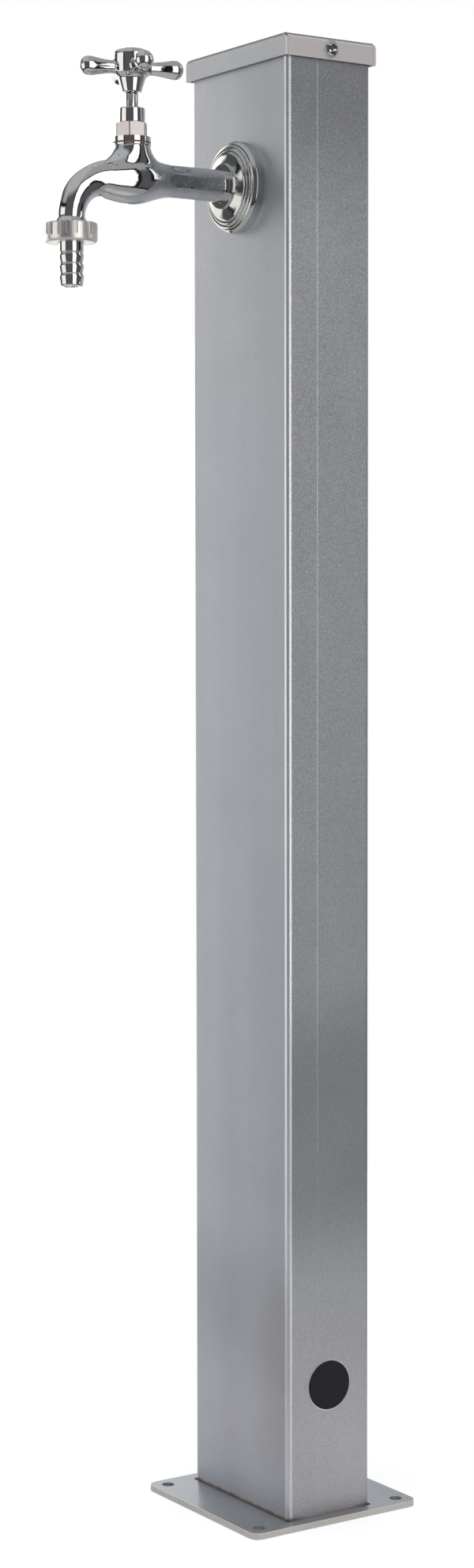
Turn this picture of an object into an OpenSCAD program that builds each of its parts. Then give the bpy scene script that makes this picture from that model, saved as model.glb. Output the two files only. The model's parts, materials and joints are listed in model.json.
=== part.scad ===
// Garden tap fountain: a sheet steel post on a bolt-down plate, with a bib tap near its top.
// Millimetres. +Z is up and the tap points towards -Y. The origin is the centre of the plate's underside.

/* [Post] */
// Width of the post across its front face
post_w = 110; // [90:1:150]
// Depth of the post from front to back
post_d = 65; // [60:1:100]
// Height from the floor to the top of the lid
total_h = 950; // [700:10:1200]
// Thickness of the post's sheet
post_t = 1.5; // [1:0.25:2.5]
// Inner radius of the post's bent corners
post_bend_r = 2; // [1:0.5:5]

/* [Base plate] */
// How far the plate reaches past the post at each side
plate_side = 10; // [8:1:40]
// How far the plate reaches past the post at the front and at the back
plate_front = 32.5; // [25:0.5:60]
// Thickness of the plate
plate_t = 4; // [3:0.5:8]
// Radius of the plate's corners
plate_corner_r = 7; // [3:0.5:9]
// Diameter of the floor holes
floor_hole_d = 8; // [6:0.5:10]
// Distance from the plate's edges to the centres of the floor holes
floor_hole_inset = 10.5; // [9:0.5:14]

/* [Lid] */
// Thickness of the lid's sheet
lid_t = 1.5; // [1:0.25:2]
// Gap between the lid's flanges and the post
lid_gap = 1; // [0.5:0.25:2]
// Height of the lid's flanges, with the top sheet
lid_h = 14; // [12:0.5:18]
// Inner radius of the lid's bends
lid_bend_r = 1.5; // [0.5:0.5:2.5]
// Depth of the lid screws' axis under the lid's top
lid_screw_drop = 6.9; // [6.8:0.1:8]

/* [Tap place] */
// Depth of the tap's axis under the lid's top
tap_drop = 89.5; // [75:0.5:150]
// Distance from the post's face to the spindle's axis
tap_reach = 80; // [72:0.5:110]
// Distance from the spindle's axis to the spout's axis
spout_reach = 44.5; // [42:0.5:60]

/* [Tap body] */
// Outer diameter of the tap's inlet pipe
pipe_d = 20; // [19:0.5:22]
// Bore of the inlet pipe
pipe_bore_d = 12; // [9:0.5:14]
// How much the valve chamber swells beyond the pipe's radius
belly_swell = 5; // [3.5:0.25:7]
// Half length of the swelling along the body
belly_half = 27; // [22:0.5:30]
// Height of the neck's rim over the tap's axis
neck_rise = 20.9; // [19:0.1:25]
// Diameter of the neck at its rim
neck_d = 23.6; // [22:0.1:26]
// How far the neck's foot spreads along the body
neck_spread = 9; // [5:0.5:11]
// Radius of the spout's bend
spout_bend_r = 25; // [24:0.5:28]
// How far the spout's axis leaves the chamber under the pipe's axis
spout_sink = 2.5; // [0:0.25:4]
// Outer diameter of the spout where it ends
spout_end_d = 16.8; // [15:0.2:18]
// Bore of the spout
spout_bore_d = 11; // [8:0.5:12]
// Diameter of the round swelling over the hose nut
spout_flare_d = 22; // [20:0.5:25]
// Outer diameter of the hose thread, drawn plain
hose_thread_d = 26.4; // [25:0.1:28]
// Length of the hose thread
hose_thread_h = 5.6; // [4:0.1:7]

/* [Valve] */
// Outer diameter of the bonnet's thread, drawn plain
bonnet_thread_d = 16.6; // [15:0.1:18]
// Length of the bonnet's thread
bonnet_thread_h = 8.6; // [7:0.1:9]
// Thickness of the fibre washer under the bonnet
fibre_t = 0.8; // [0.5:0.1:1]
// Thickness of the bonnet's round flange
bonnet_flange_h = 3.1; // [2:0.1:4]
// Width across the flats of the bonnet's hexagon
bonnet_flats = 18; // [17:0.5:20]
// Height of the bonnet's hexagon
bonnet_hex_h = 8.9; // [7:0.1:10]
// Diameter of the gland nut
gland_d = 16.6; // [15.8:0.1:18]
// Height of the gland nut
gland_h = 9.2; // [8:0.1:11]
// Diameter of the spindle's smooth shaft
spindle_d = 8; // [7:0.1:8.6]
// Diameter of the spindle's thread, drawn plain
spindle_thread_d = 11; // [10.6:0.1:11.6]
// Bore of the valve seat
seat_bore_d = 10; // [8:0.5:11]
// Height of the seat over the chamber's floor
seat_rise = 1.5; // [1:0.25:2]

/* [Cross handle] */
// Height from the gland nut to the handle's hub
hub_lift = 9.8; // [8:0.1:14]
// Height of the hub from its foot to the edge of its dome
hub_h = 23.3; // [20:0.1:28]
// Diameter of the hub
hub_d = 24; // [20:0.5:26]
// Diameter of the hub's foot
hub_foot_d = 12.4; // [11:0.2:14]
// Height of the hub's dome
hub_dome_h = 4.5; // [3:0.25:6]
// Distance from the spindle's axis to the tip of an arm
arm_reach = 33.8; // [30:0.1:42]
// Thickest diameter of an arm
arm_d = 12.1; // [9:0.1:14]
// Diameter of an arm where it leaves the hub
arm_root_d = 8.4; // [7:0.1:9]
// Height of the arms' axis over the hub's foot
arm_rise = 15.2; // [13:0.1:17]
// Angle that the closed handle is turned from the post's X axis
handle_turned = -15.6; // [-45:0.1:45]

/* [Hose fitting] */
// Outer diameter of the knurled nut
nut_d = 33; // [32.4:0.2:38]
// Height of the knurled nut
nut_h = 12; // [11:0.1:14]
// Thickness of the nut's inner lip
nut_lip_t = 2.6; // [2:0.1:3.5]
// Number of grooves round the nut
nut_grooves = 19; // [12:1:24]
// Width of a groove
groove_w = 2.1; // [1.5:0.1:3]
// Depth of a groove
groove_deep = 0.9; // [0.5:0.1:1.2]
// Thickness of the tail's gasket
gasket_t = 1.9; // [1.5:0.1:2.5]
// Thickness of the tail's flange
tail_flange_t = 2; // [1.5:0.1:3]
// Diameter of the tail's smooth collar
tail_d = 15.4; // [14:0.1:15.8]
// Largest diameter of the tail's barbs
barb_d = 15.8; // [15:0.1:16]
// Height of one barb
barb_h = 6.4; // [5:0.1:8]
// Bore of the hose tail
tail_bore_d = 9; // [7:0.5:10]
// Number of barbs
barbs = 3; // [2:1:5]

/* [Rosette] */
// Outer diameter of the rosette
rosette_d = 58; // [54:0.5:66]
// Height of the rosette over the post's face
rosette_h = 13.6; // [12:0.2:16]
// Diameter of the rosette's collar
rosette_collar_d = 28.6; // [26:0.2:32]
// Thickness of the rosette's sheet
rosette_t = 0.9; // [0.6:0.1:1.2]

/* [Inlet plug] */
// Height of the plug's centre over the floor
plug_z = 88.5; // [80:0.5:120]
// Diameter of the hole that the plug closes
plug_hole_d = 28; // [20:0.5:32]
// How far the plug's disc covers the post round its hole
plug_cover = 1.9; // [1:0.1:4]
// Thickness of the plug's disc
plug_disc_t = 1.2; // [0.8:0.1:2.5]
// Length of the plug's barrel, through the wall and beyond
plug_barrel_l = 8; // [5:0.5:12]

/* [Supply] */
// Outer diameter of the riser pipe
riser_d = 15; // [14:0.5:16]
// Wall of the riser pipe
riser_t = 1; // [0.7:0.1:1.5]
// Height of the riser pipe's lower end over the floor
riser_foot_z = 118; // [112:1:160]
// Bore of the inlet's female thread, drawn plain
inlet_thread_d = 18.6; // [17:0.1:19]
// Length of the inlet's female thread
inlet_thread_l = 14; // [10:0.5:18]

/* [Hidden] */

$fn = 64;
// overrun of every cut past the surface it cuts
cut = 1;
// radial running gap of turning and sliding fits
fit = 0.05;
// play of a screw or a pipe in a plain hole
play = 0.3;

// Post and plate
post_r = post_bend_r + post_t;
face_y = -post_d / 2;
inner_x = post_w / 2 - post_t;
inner_y = post_d / 2 - post_t;
plate_w = post_w + 2 * plate_side;
plate_d = post_d + 2 * plate_front;
slot_gap = 0.15;
notch_r = 2;
post_foot_z = plate_t * 0.4;
weld_foot_z = plate_t * 0.05;

// Lid
lid_w = post_w + 2 * (lid_gap + lid_t);
lid_d = post_d + 2 * (lid_gap + lid_t);
lid_r = lid_bend_r + lid_t;
post_top_z = total_h - lid_t;
flange_gap = 0.2;
lid_screw_z = total_h - lid_screw_drop;
screw_d = 6;
screw_l = 10;
screw_head_d = 10.5;
screw_head_h = 3.3;
screw_socket = 4;
screw_socket_deep = 2;
weld_nut_flats = 10;
weld_nut_h = 5;

// Axes of the tap
tap_z = total_h - tap_drop;
spindle_y = face_y - tap_reach;
spout_y = spindle_y - spout_reach;

// Tap body
body_sides = 28;
belly_rings = 16;
bend_rings = 10;
neck_rings = 8;
pipe_r = pipe_d / 2;
body_start_y = spindle_y + belly_half;
bend_start_y = spout_y + spout_bend_r;
bend_z = tap_z - spout_sink - spout_bend_r;
bend_r_share = 0.97;
body_over = 1.012;
spout_r = spout_end_d / 2;
neck_top_z = tap_z + neck_rise;
neck_foot_h = neck_rise * 0.56;
neck_root_z = tap_z + pipe_r * 0.2;
rim_h = 1.4;
rim_proud = 0.25;
shank_thread_d = 20.9;
shank_thread_end_y = -inner_y + 13;
shank_thread_start_y = face_y - rosette_h * 0.42;
chamber_d = bonnet_thread_d + 0.2;
floor_z = tap_z - 0.5;
seat_z = floor_z + seat_rise;
seat_wall = 2;
passage_d = 8;
passage_z = tap_z - 9.8;
passage_entry_y = spindle_y + 14.5;
passage_entry_z = tap_z - 5;
pipe_bore_end_y = spindle_y + chamber_d / 2 + 2.6;
outlet_d = 10;
outlet_entry_y = spindle_y - 4.5;
outlet_entry_z = tap_z + 6.5;
thread_top_z = bend_z - 3.7;
spout_foot_z = thread_top_z - hose_thread_h;

// Bonnet, spindle and valve
washer_z = neck_top_z;
bonnet_z = washer_z + fibre_t;
hex_z = bonnet_z + bonnet_flange_h;
gland_z = hex_z + bonnet_hex_h;
hub_z = gland_z + gland_h + hub_lift;
bonnet_foot_z = bonnet_z - bonnet_thread_h;
hex_bevel = 0.8;
hex_turned = 20.9;
gland_thread_d = 12.4;
gland_thread_h = 6.2;
gland_wall = 0.9;
packing_d = 10.4;
packing_h = 3.4;
shaft_hole_z = gland_z - 2.6;
washer_t = 3;
washer_d = 13;
jumper_d = 13.6;
jumper_t = 2;
jumper_stem_d = 5;
jumper_stem_h = 7;
jumper_pin_d = 3;
washer_nut_flats = 5.5;
washer_nut_h = 2.4;
jumper_z = seat_z + washer_t;
spindle_foot_z = jumper_z + jumper_t + play;
spindle_thread_top_z = spindle_foot_z + 12.5;
spindle_top_z = hub_z + hub_h * 0.66;
handle_bore_d = spindle_d;
handle_screw_d = 4;
handle_screw_head_d = 8.4;
handle_screw_head_h = 2.6;
handle_screw_l = 9;
cap_d = hub_d * 0.82;
cap_skirt_h = 2.4;
cap_well_d = 11;

// Hose fitting
lip_z = spout_foot_z - gasket_t - tail_flange_t;
nut_foot_z = lip_z - nut_lip_t;
nut_hole_d = barb_d + 0.6;
nut_bevel = 1.2;
groove_l = nut_h * 0.68;
skirt_h = 1.1;
skirt_step = 0.35;
tail_flange_d = hose_thread_d - 1.6;
tail_collar_foot_z = nut_foot_z - 6.2;
tail_waist_d = tail_d - 1.2;
tail_end_h = 8;
tail_foot_z = tail_collar_foot_z - barbs * barb_h - tail_end_h + barb_h;

// Supply
elbow_flange_d = 34;
elbow_flange_t = 3;
elbow_washer_t = 1;
elbow_neck_d = 26.4;
elbow_hole_d = elbow_neck_d + play;
elbow_neck_out = 6;
locknut_flats = 32;
locknut_h = 5;
elbow_body_d = 27;
elbow_leg_d = 20;
elbow_leg_l = 20;
elbow_thread_l = 9;
riser_y = 0;
olive_h = 4;
olive_t = 1;
comp_nut_flats = 24;
comp_nut_h = 15;
comp_thread_d = 20.4;
riser_in = 12;
elbow_leg_foot_z = tap_z - elbow_body_d / 2 - elbow_leg_l;
riser_top_z = elbow_leg_foot_z + riser_in;
connector_flats = 24;
connector_h = 26;
connector_top_z = riser_foot_z + riser_in;
bracket_w = 16;
bracket_t = 2;
bracket_ring_t = 2;
bracket_shares = [0.22, 0.72];

// Rectangle with round corners, centred
module rounded_rect(w, d, r) {
    square([w - 2 * r, d], center = true);
    square([w, d - 2 * r], center = true);
    for (x = [-1, 1], y = [-1, 1]) translate([x * (w / 2 - r), y * (d / 2 - r)]) circle(r);
}

// Hexagonal prism on the XY plane
module hex_prism(flats, h) {
    cylinder(d = flats / cos(30), h = h, $fn = 6);
}

// Round tube along +Z
module tube(d_out, d_in, h) {
    difference() {
        cylinder(d = d_out, h = h);
        translate([0, 0, -cut]) cylinder(d = d_in, h = h + 2 * cut);
    }
}

// Turns what is drawn along +Z so that it points along +Y from y0 at the tap's height
module along_y(y0) {
    translate([0, y0, tap_z]) rotate([-90, 0, 0]) children();
}

// Cylinder from one point to another in the plane X = 0, points given as [y, z]
module rod_yz(p, q, d) {
    dy = q[0] - p[0];
    dz = q[1] - p[1];
    translate([0, p[0], p[1]]) rotate([-atan2(dy, dz), 0, 0]) cylinder(d = d, h = sqrt(dy * dy + dz * dz));
}

// Closed skin over rings of points that all have the same count
module ring_skin(rings) {
    n = len(rings[0]);
    m = len(rings);
    points = [for (ring = rings) each ring];
    sides = [for (i = [0 : m - 2], k = [0 : n - 1])
        each [[i * n + k, (i + 1) * n + (k + 1) % n, i * n + (k + 1) % n],
              [i * n + k, (i + 1) * n + k, (i + 1) * n + (k + 1) % n]]];
    ends = [[for (k = [0 : n - 1]) k], [for (k = [n - 1 : -1 : 0]) (m - 1) * n + k]];
    polyhedron(points, concat(sides, ends));
}

module base_plate() {
    color("slategray") difference() {
        linear_extrude(plate_t) rounded_rect(plate_w, plate_d, plate_corner_r);
        translate([0, 0, -cut]) linear_extrude(plate_t + 2 * cut) {
            rounded_rect(post_w + 2 * slot_gap, post_d + 2 * slot_gap, post_r);
            for (x = [-1, 1], y = [-1, 1])
                translate([x * (post_w / 2 - notch_r / 2), y * (post_d / 2 - notch_r / 2)]) circle(notch_r);
        }
        for (x = [-1, 1], y = [-1, 1])
            translate([x * (plate_w / 2 - floor_hole_inset), y * (plate_d / 2 - floor_hole_inset), -cut])
                cylinder(d = floor_hole_d, h = plate_t + 2 * cut);
    }
}

module post() {
    color("darkgray") difference() {
        translate([0, 0, post_foot_z]) linear_extrude(post_top_z - post_foot_z) difference() {
            rounded_rect(post_w, post_d, post_r);
            rounded_rect(2 * inner_x, 2 * inner_y, post_bend_r);
        }
        along_y(face_y - cut) cylinder(d = elbow_hole_d, h = post_t + 2 * cut);
        translate([inner_x - cut, 0, plug_z]) rotate([0, 90, 0])
            cylinder(d = plug_hole_d, h = post_t + 2 * cut);
        for (side = [-1, 1]) translate([side * (inner_x - cut), 0, lid_screw_z]) rotate([0, side * 90, 0])
            cylinder(d = screw_d + 2 * play, h = post_t + 2 * cut);
    }
}

// Bead that fills the cut-out under the post's lower edge
module foot_weld() {
    color("dimgray") translate([0, 0, weld_foot_z]) linear_extrude(post_foot_z - weld_foot_z) difference() {
        rounded_rect(post_w + 2 * slot_gap, post_d + 2 * slot_gap, post_r);
        rounded_rect(2 * inner_x, 2 * inner_y, post_bend_r);
    }
}

// One folded flange with its bend, cut square: outer face at x = w/2, top at z = 0
module folded_profile(w, bend_out, h) {
    difference() {
        translate([0, -h]) rounded_rect(w, 2 * h, bend_out);
        translate([0, -h - lid_t]) rounded_rect(w - 2 * lid_t, 2 * h, bend_out - lid_t);
        translate([0, -2 * h - cut]) square([w + 2 * cut, 2 * (h + cut)], center = true);
    }
}

module lid() {
    side_len = lid_d - 2 * (lid_t + flange_gap);
    color("gainsboro") difference() {
        translate([0, 0, total_h]) {
            // top sheet with the front and back flanges
            rotate([90, 0, 90]) translate([0, 0, -lid_w / 2 + lid_r])
                linear_extrude(lid_w - 2 * lid_r) folded_profile(lid_d, lid_r, lid_h);
            // ends of the front and back flanges, with bevelled upper corners
            for (side = [0, 1]) mirror([0, side, 0]) translate([0, -lid_d / 2 + lid_t, 0]) rotate([90, 0, 0])
                linear_extrude(lid_t) polygon([[-lid_w / 2, -lid_h], [lid_w / 2, -lid_h],
                    [lid_w / 2, -lid_r], [lid_w / 2 - lid_r * 0.75, -lid_r * 0.25],
                    [lid_w / 2 - lid_r, -lid_r], [-lid_w / 2 + lid_r, -lid_r],
                    [-lid_w / 2 + lid_r * 0.75, -lid_r * 0.25], [-lid_w / 2, -lid_r]]);
            // side flanges
            rotate([90, 0, 0]) translate([0, 0, -side_len / 2])
                linear_extrude(side_len) folded_profile(lid_w, lid_r, lid_h);
        }
        for (side = [-1, 1]) translate([side * (post_w / 2), 0, lid_screw_z]) rotate([0, side * 90, 0])
            cylinder(d = screw_d + 2 * play, h = lid_gap + lid_t + cut);
    }
}

// Button-head screw along +Z: the head's seat is at z = 0 and the shank points down
module button_screw(d, l, head_d, head_h, socket, socket_deep) {
    dome_r = (head_d * head_d / 4 + head_h * head_h) / (2 * head_h);
    difference() {
        union() {
            translate([0, 0, -l]) cylinder(d = d, h = l);
            intersection() {
                translate([0, 0, head_h - dome_r]) sphere(dome_r);
                cylinder(d = head_d, h = head_h + cut);
            }
        }
        translate([0, 0, head_h - socket_deep]) hex_prism(socket, socket_deep + cut);
    }
}

module lid_screws() {
    color("silver") for (side = [-1, 1])
        translate([side * lid_w / 2, 0, lid_screw_z]) rotate([0, side * 90, 0])
            button_screw(screw_d, screw_l, screw_head_d, screw_head_h, screw_socket, screw_socket_deep);
}

module lid_nuts() {
    color("gray") for (side = [-1, 1]) translate([side * inner_x, 0, lid_screw_z]) rotate([0, -side * 90, 0])
        difference() {
            // a flat faces up, clear of the lid's top sheet
            rotate(30) hex_prism(weld_nut_flats, weld_nut_h);
            translate([0, 0, -cut]) cylinder(d = screw_d + 2 * fit, h = weld_nut_h + 2 * cut);
        }
}

// Shares of the rosette's radius and height, from the rim to the collar
rosette_shares = [[1, 0], [1, 0.31], [0.985, 0.38], [0.95, 0.455], [0.925, 0.5], [0.905, 0.5],
    [0.895, 0.545], [0.85, 0.575], [0.825, 0.56], [0.81, 0.615], [0.765, 0.65], [0.745, 0.635],
    [0.725, 0.69], [0.66, 0.735], [0.6, 0.775], [0.55, 0.815]];
rosette_rim_share = 0.05;

module wall_rosette() {
    r = rosette_d / 2;
    collar_r = rosette_collar_d / 2;
    outside = concat([for (s = rosette_shares) [s[0] * r, s[1] * rosette_h]],
        [[collar_r, rosette_h * 0.84], [collar_r, rosette_h - rosette_t / 2],
         [collar_r - rosette_t / 2, rosette_h], [pipe_r + fit, rosette_h]]);
    inside = [[pipe_r + fit, rosette_h - 2 * rosette_t], [collar_r - rosette_t, rosette_h * 0.78],
        [r * 0.66, rosette_h * 0.735 - rosette_t], [r * 0.89, rosette_h * 0.5 - rosette_t],
        [r - rosette_t, rosette_h * 0.3 - rosette_t / 2], [r - rosette_t, 0]];
    color("lightgray") along_y(face_y) mirror([0, 0, 1]) rotate_extrude() polygon(concat(outside, inside));
}

// Radius of the body at a distance from the spindle's axis: its flats just clear the pipe
function belly_r(dist) = pipe_r * body_over + belly_swell * pow(cos(min(abs(dist) / belly_half, 1) * 90), 2);
// Height of the body's centre line, which sinks from the pipe to the spout
function belly_z(share) = tap_z - spout_sink * (3 * share * share - 2 * pow(share, 3));
// Ring of the body: its centre lies in the plane X = 0, and turn tips it from upright
function body_ring(y, z, r, turn) = [for (k = [0 : body_sides - 1]) let (a = 360 * k / body_sides)
    [r * cos(a), y - r * sin(a) * sin(turn), z + r * sin(a) * cos(turn)]];

module body_skin() {
    belly = [for (i = [0 : belly_rings - 1]) let (s = i / belly_rings,
            y = body_start_y + (bend_start_y - body_start_y) * s)
        body_ring(y, belly_z(s), belly_r(y - spindle_y), 0)];
    bend = [for (i = [0 : bend_rings]) let (s = i / bend_rings,
            r = (pipe_r + (spout_r - pipe_r) * s) * bend_r_share)
        body_ring(bend_start_y - spout_bend_r * sin(90 * s), bend_z + spout_bend_r * cos(90 * s), r, 90 * s)];
    ring_skin(concat(belly, bend));
}

// Upright neck whose foot spreads along the body
module neck_skin() {
    neck_r = neck_d / 2;
    top_z = neck_top_z - rim_h / 2;
    foot = neck_foot_h - rim_h / 2;
    rings = [for (i = [0 : neck_rings]) let (s = i / neck_rings, ry = neck_r + neck_spread * pow(s, 2.4))
        [for (k = [0 : body_sides - 1]) let (a = -360 * k / body_sides)
            [neck_r * cos(a), spindle_y + ry * sin(a), top_z - foot * s]]];
    root = [for (k = [0 : body_sides - 1]) let (a = -360 * k / body_sides)
        [neck_r * cos(a), spindle_y + (neck_r + neck_spread) * sin(a), neck_root_z]];
    ring_skin(concat(rings, [root]));
}

// Round swelling at the end of the spout, and the hose thread under it
module spout_foot() {
    flare_r = spout_flare_d / 2;
    h = bend_z + spout_r * 0.1 - thread_top_z;
    translate([0, spout_y, 0]) rotate_extrude() polygon([[0, thread_top_z + h], [spout_r, thread_top_z + h],
        [spout_r * 1.01, thread_top_z + h * 0.72], [spout_r * 1.07, thread_top_z + h * 0.48],
        [spout_r * 1.16, thread_top_z + h * 0.3], [flare_r * 0.97, thread_top_z + h * 0.14],
        [flare_r, thread_top_z], [hose_thread_d / 2, thread_top_z],
        [hose_thread_d / 2, spout_foot_z], [0, spout_foot_z]]);
}

module tap_body() {
    color("lightsteelblue") difference() {
        union() {
            along_y(body_start_y - belly_half * 0.1)
                cylinder(d = pipe_d, h = shank_thread_start_y - body_start_y + belly_half * 0.1);
            along_y(shank_thread_start_y)
                cylinder(d = shank_thread_d, h = shank_thread_end_y - shank_thread_start_y);
            body_skin();
            neck_skin();
            translate([0, spindle_y, neck_top_z - rim_h]) cylinder(r = neck_d / 2 + rim_proud, h = rim_h);
            spout_foot();
        }
        // inlet
        along_y(pipe_bore_end_y)
            cylinder(d = pipe_bore_d, h = shank_thread_end_y - pipe_bore_end_y + cut);
        rod_yz([passage_entry_y, passage_entry_z], [spindle_y, passage_z], passage_d);
        translate([0, spindle_y, passage_z]) cylinder(d = seat_bore_d, h = seat_z - passage_z + cut);
        // chamber, which leaves the raised seat standing
        translate([0, spindle_y, floor_z]) difference() {
            cylinder(d = chamber_d, h = neck_top_z - floor_z + cut);
            cylinder(d = seat_bore_d + 2 * seat_wall, h = seat_rise);
        }
        // outlet
        rod_yz([outlet_entry_y, outlet_entry_z], [bend_start_y - cut, bend_z + spout_bend_r], outlet_d);
        translate([0, bend_start_y, bend_z]) rotate([90, 0, -90]) rotate_extrude(angle = 90)
            translate([spout_bend_r, 0]) circle(d = spout_bore_d);
        translate([0, spout_y, spout_foot_z - cut]) cylinder(d = spout_bore_d, h = bend_z - spout_foot_z + cut);
    }
}

module bonnet_washer() {
    color("indianred") translate([0, spindle_y, washer_z]) tube(neck_d + rim_proud, chamber_d, fibre_t);
}

module bonnet() {
    flange_r = neck_d / 2 + rim_proud / 2;
    color("thistle") translate([0, spindle_y, 0]) difference() {
        union() {
            translate([0, 0, bonnet_foot_z]) cylinder(d = bonnet_thread_d, h = bonnet_thread_h + cut);
            translate([0, 0, bonnet_z]) cylinder(r = flange_r, h = bonnet_flange_h);
            translate([0, 0, bonnet_z]) intersection() {
                rotate([0, 0, hex_turned]) hex_prism(bonnet_flats, bonnet_flange_h + bonnet_hex_h);
                rotate_extrude() polygon([[0, 0], [bonnet_flats / 2 + cut * 2, 0],
                    [bonnet_flats / 2 + cut * 2, bonnet_flange_h + bonnet_hex_h - hex_bevel],
                    [bonnet_flats / 2, bonnet_flange_h + bonnet_hex_h], [0, bonnet_flange_h + bonnet_hex_h]]);
            }
            translate([0, 0, hex_z]) cylinder(d = gland_thread_d, h = bonnet_hex_h + gland_thread_h);
        }
        translate([0, 0, bonnet_foot_z - cut])
            cylinder(d = spindle_thread_d + 2 * fit, h = shaft_hole_z - bonnet_foot_z + cut);
        cylinder(d = spindle_d + 2 * fit, h = total_h);
        translate([0, 0, gland_z + gland_thread_h - packing_h])
            cylinder(d = packing_d, h = packing_h + cut);
    }
}

module gland_packing() {
    color("dimgray") translate([0, spindle_y, gland_z + gland_thread_h - packing_h])
        tube(packing_d, spindle_d + 2 * fit, packing_h);
}

module gland_nut() {
    r = gland_d / 2;
    color("silver") translate([0, spindle_y, gland_z]) difference() {
        rotate_extrude() polygon([[0, 0], [r, 0], [r, gland_h - gland_wall], [r - gland_wall, gland_h],
            [0, gland_h]]);
        translate([0, 0, -cut]) cylinder(d = gland_thread_d, h = gland_thread_h + cut);
        cylinder(d = spindle_d + 2 * play, h = gland_h + cut);
    }
}

// Jumper: pin through the washer, disc, and a stem that stands in the spindle
module jumper_valve() {
    color("goldenrod") translate([0, spindle_y, 0]) {
        translate([0, 0, seat_z - washer_nut_h]) cylinder(d = jumper_pin_d, h = washer_nut_h + washer_t + cut);
        translate([0, 0, jumper_z]) cylinder(d = jumper_d, h = jumper_t);
        translate([0, 0, jumper_z]) cylinder(d = jumper_stem_d, h = jumper_t + jumper_stem_h);
    }
}

module valve_washer() {
    color("black") translate([0, spindle_y, seat_z]) tube(washer_d, jumper_pin_d, washer_t);
}

module valve_washer_nut() {
    color("darkgoldenrod") translate([0, spindle_y, seat_z - washer_nut_h]) difference() {
        hex_prism(washer_nut_flats, washer_nut_h);
        translate([0, 0, -cut]) cylinder(d = jumper_pin_d, h = washer_nut_h + 2 * cut);
    }
}

module spindle() {
    color("whitesmoke") translate([0, spindle_y, 0]) difference() {
        union() {
            translate([0, 0, spindle_foot_z])
                cylinder(d = spindle_thread_d, h = spindle_thread_top_z - spindle_foot_z);
            translate([0, 0, spindle_foot_z]) cylinder(d = spindle_d, h = spindle_top_z - spindle_foot_z);
        }
        translate([0, 0, spindle_foot_z - cut])
            cylinder(d = jumper_stem_d + 2 * fit, h = jumper_stem_h + 2 * cut);
        translate([0, 0, spindle_top_z - handle_screw_l])
            cylinder(d = handle_screw_d, h = handle_screw_l + cut);
    }
}

// Outline of an arm, as shares of its length from the axis and of its half thickness
arm_shares = [[0.3, 0.69], [0.47, 0.71], [0.56, 0.775], [0.65, 0.86], [0.74, 0.955], [0.815, 1],
    [0.875, 0.96], [0.93, 0.8], [0.97, 0.55], [0.992, 0.28], [1, 0]];

module handle_arm() {
    r = arm_d / 2;
    root = arm_root_d / 2;
    rotate([0, 90, 0]) rotate_extrude() polygon(concat([[0, 0], [root, 0]],
        [for (s = arm_shares) [min(s[1], 1) * r, s[0] * arm_reach]]));
}

// Hub, up to the seat of its cap
module hub_solid() {
    r = hub_d / 2;
    foot = hub_foot_d / 2;
    waist = foot + (r - foot) * 0.42;
    shoulder = arm_rise - arm_root_d / 2;
    rotate_extrude() polygon([[0, 0], [foot - hub_dome_h * 0.1, 0], [foot, hub_dome_h * 0.1],
        [waist, shoulder * 0.75], [waist + (r - waist) * 0.18, shoulder * 0.84],
        [waist + (r - waist) * 0.5, shoulder * 0.93],
        [waist + (r - waist) * 0.82, shoulder], [r, shoulder * 1.13], [r, hub_h - hub_dome_h * 0.2],
        [r * 0.975, hub_h + hub_dome_h * 0.12], [r * 0.9, hub_h + hub_dome_h * 0.4],
        [cap_d / 2, hub_h + hub_dome_h * 0.52], [0, hub_h + hub_dome_h * 0.52]]);
}

module cross_handle() {
    color("lightgray") translate([0, spindle_y, hub_z]) rotate([0, 0, handle_turned]) difference() {
        union() {
            hub_solid();
            for (k = [0 : 3]) rotate([0, 0, 90 * k]) translate([0, 0, arm_rise]) handle_arm();
        }
        translate([0, 0, -cut]) cylinder(d = handle_bore_d, h = spindle_top_z - hub_z + cut);
        cylinder(d = handle_screw_d + 2 * fit, h = hub_h + hub_dome_h);
        translate([0, 0, spindle_top_z - hub_z + gland_wall]) cylinder(d = cap_well_d, h = hub_h);
        translate([0, 0, hub_h + hub_dome_h * 0.52 - cap_skirt_h]) cylinder(d = cap_d, h = hub_h);
    }
}

module handle_screw() {
    color("gray") translate([0, spindle_y, spindle_top_z + gland_wall])
        button_screw(handle_screw_d, handle_screw_l, handle_screw_head_d, handle_screw_head_h,
            handle_screw_d * 0.6, handle_screw_head_h * 0.5);
}

// Domed cap: its edge follows the hub's dome
module handle_cap() {
    edge_z = hub_h + hub_dome_h * 0.52;
    rise = hub_dome_h * 0.48;
    dome_r = (cap_d * cap_d / 4 + rise * rise) / (2 * rise);
    color("gainsboro") translate([0, spindle_y, hub_z]) difference() {
        union() {
            translate([0, 0, edge_z - cap_skirt_h]) cylinder(d = cap_d, h = cap_skirt_h);
            intersection() {
                translate([0, 0, edge_z + rise - dome_r]) sphere(dome_r);
                translate([0, 0, edge_z - fit]) cylinder(d = cap_d, h = rise + cut);
            }
        }
        translate([0, 0, edge_z - cap_skirt_h - cut])
            cylinder(d = cap_well_d - 2 * play, h = cap_skirt_h * 0.6 + cut);
    }
}

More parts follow.
